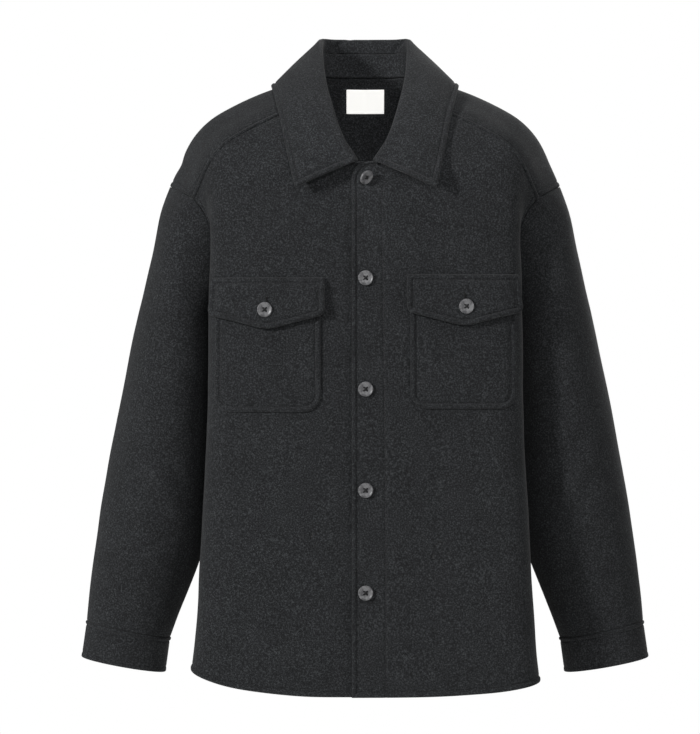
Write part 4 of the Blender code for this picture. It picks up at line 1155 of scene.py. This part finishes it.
button_mesh = turned_button()
button_nodes = ["button_%d" % number for number in range(1, 6)]
button_nodes += ["button_pocket_left", "button_pocket_right"]
for node in button_nodes:
    back_middle, axis = button_frame(node)
    button = bpy.data.objects.new("turned_" + node, button_mesh)
    button.location = back_middle
    button.rotation_mode = "QUATERNION"
    button.rotation_quaternion = Vector(axis).to_track_quat("Z", "Y")
    bpy.context.scene.collection.objects.link(button)
    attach(button, "root")
    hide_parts(node)
    turn = np.array(button.rotation_quaternion.to_matrix())
    starts, ends, lifts = [], [], []
    for level, sign in enumerate((1, -1)):
        for n in range(CROSS_THREADS):
            slant = (n - (CROSS_THREADS - 1) / 2) * CROSS_APART * CROSS_RADIUS * CROSS_SLANT
            height = BUTTON_THICK - BUTTON_DISH + 2 * CROSS_RADIUS * level
            a = np.array((-HOLE_ASIDE + slant, sign * (-HOLE_ASIDE - slant), height))
            b = np.array((HOLE_ASIDE + slant, sign * (HOLE_ASIDE - slant), height))
            starts.append(back_middle + turn @ a)
            ends.append(back_middle + turn @ b)
            lifts.append(axis)
    vertices, faces = strand(starts, ends, lifts, CROSS_RADIUS, CROSS_ARCH)
    add_piece("thread_" + node, vertices, faces, cross_thread)


# Buttonholes. Each is a slit worked round with close satin stitches. Those of the front lie
# level and reach out past their buttons, and those of the flaps stand upright above them.
HOLE_PAST = 0.0145       # from the button's middle to the slit's far end
HOLE_NEAR = 0.004
SATIN_PITCH = 0.0005
SATIN_RADIUS = 0.00026
SATIN_INNER = 0.00015
SATIN_OUTER = 0.0011
SATIN_ARCH = ((0.0, -0.6, 1.0), (0.3, 0.9, 1.0), (0.7, 0.8, 1.0), (1.0, -0.8, 0.9))
SATIN_SUNK = 0.0002      # the flap's stitches lie this far behind its button's back


def worked_hole(name, middle, run, chart, lift):
    """Satin stitches on both sides of a slit, from a place near its button and along a way."""
    middle, run, side = np.array(middle), np.array(run), np.array((-run[1], run[0]))
    tip = middle + run * HOLE_PAST
    ways = [(middle + run * share, side * hand) for hand in (-1, 1)
            for share in np.arange(-HOLE_NEAR, HOLE_PAST, SATIN_PITCH)]
    ways += [(tip, run * math.cos(angle) + side * math.sin(angle)) for angle in np.linspace(-1.2, 1.2, 6)]
    ends = []
    for reach in (SATIN_INNER, SATIN_OUTER):
        spot = np.array([start + way * reach for start, way in ways])
        points, normals = on_chart(chart, spot[:, 0], spot[:, 1])
        ends.append(points + normals * lift)
    vertices, faces = strand(ends[0], ends[1], normals, SATIN_RADIUS, SATIN_ARCH)
    add_piece(name, vertices, faces, cross_thread)


for number in range(1, 6):
    back_middle, axis = button_frame("button_%d" % number)
    worked_hole("hole_button_%d" % number, (0.0, back_middle[2]), (1.0, 0.0), charts["left"], 0.0)
for side, chart in charts.items():
    back_middle, axis = button_frame("button_pocket_" + side)
    on_front = on_chart(chart, np.array([POCKET_MIDDLE]), np.array([back_middle[2]]))
    stand_off = (back_middle - on_front[0][0]) @ on_front[1][0]
    worked_hole("hole_flap_" + side, (POCKET_MIDDLE, back_middle[2]), (0.0, 1.0), chart,
                stand_off - SATIN_SUNK)


# Label. A bare white label of woven satin, folded under at its ends and sewn to the inside
# of the yoke below the neck.
LABEL_WHITE = "#f6f5f2"
LABEL_SHADE = "#dcdbd8"
LABEL_WALL = 0.0006
LABEL_RIB = 0.0004       # satin floats; drawn a little coarser than they are
LABEL_STEP = 0.0012
LABEL_LINE = 0.0015
LABEL_ASIDE = 0.0014     # it is sewn on a little off the middle
LABEL_GLOW = 0.70        # light of its own, which no real yarn has; it makes up for the shaded neck
LABEL_INSET = 0.0003
LABEL_TURNING = 0.006    # folded under at both ends

satin, tree = new_material("white woven satin")
floats = pattern(tree, LABEL_RIB * math.tau, {"Distortion": 0.6, "Detail": 2.0, "bands_direction": "Z"},
                 "ShaderNodeTexWave")
surfaced(tree, {"Roughness": 0.5, "Sheen Weight": 0.2, "Emission Strength": LABEL_GLOW,
                "Emission Color": linear(LABEL_WHITE)},
         {"Base Color": shaded(tree, floats, ((0.0, LABEL_SHADE), (1.0, LABEL_WHITE))),
          "Normal": bumped(tree, floats, 0.4, TWIST_DEPTH)})

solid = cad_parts["neck_label"].data
solid_tree = BVHTree.FromPolygons([v.co for v in solid.vertices], [p.vertices for p in solid.polygons])
low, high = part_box("neck_label")
rows = []
for z in np.arange(low.z + LABEL_INSET, high.z - LABEL_INSET, LABEL_STEP):
    row = []
    for x in np.arange(low.x + LABEL_INSET, high.x - LABEL_INSET, LABEL_STEP):
        point = solid_tree.ray_cast(Vector((x, -0.2, z)), Vector((0, 1, 0)))[0]
        row.append(point + Vector((LABEL_ASIDE, 0, 0)))
    rows.append(row)
cloth = measured(np.array(rows), np.array((0.0, -1.0, 0.0)))
label, = shell("neck_label", [(cloth, 0 * cloth.left)], LABEL_WALL,
               turnings=(LABEL_TURNING, LABEL_TURNING, 0.0, 0.0), look=satin)
sewn("stitches_label", [line_on(label, edge, LABEL_LINE, LABEL_LINE, LABEL_LINE)
                        for edge in ("left", "right", "bottom", "top")], satin)
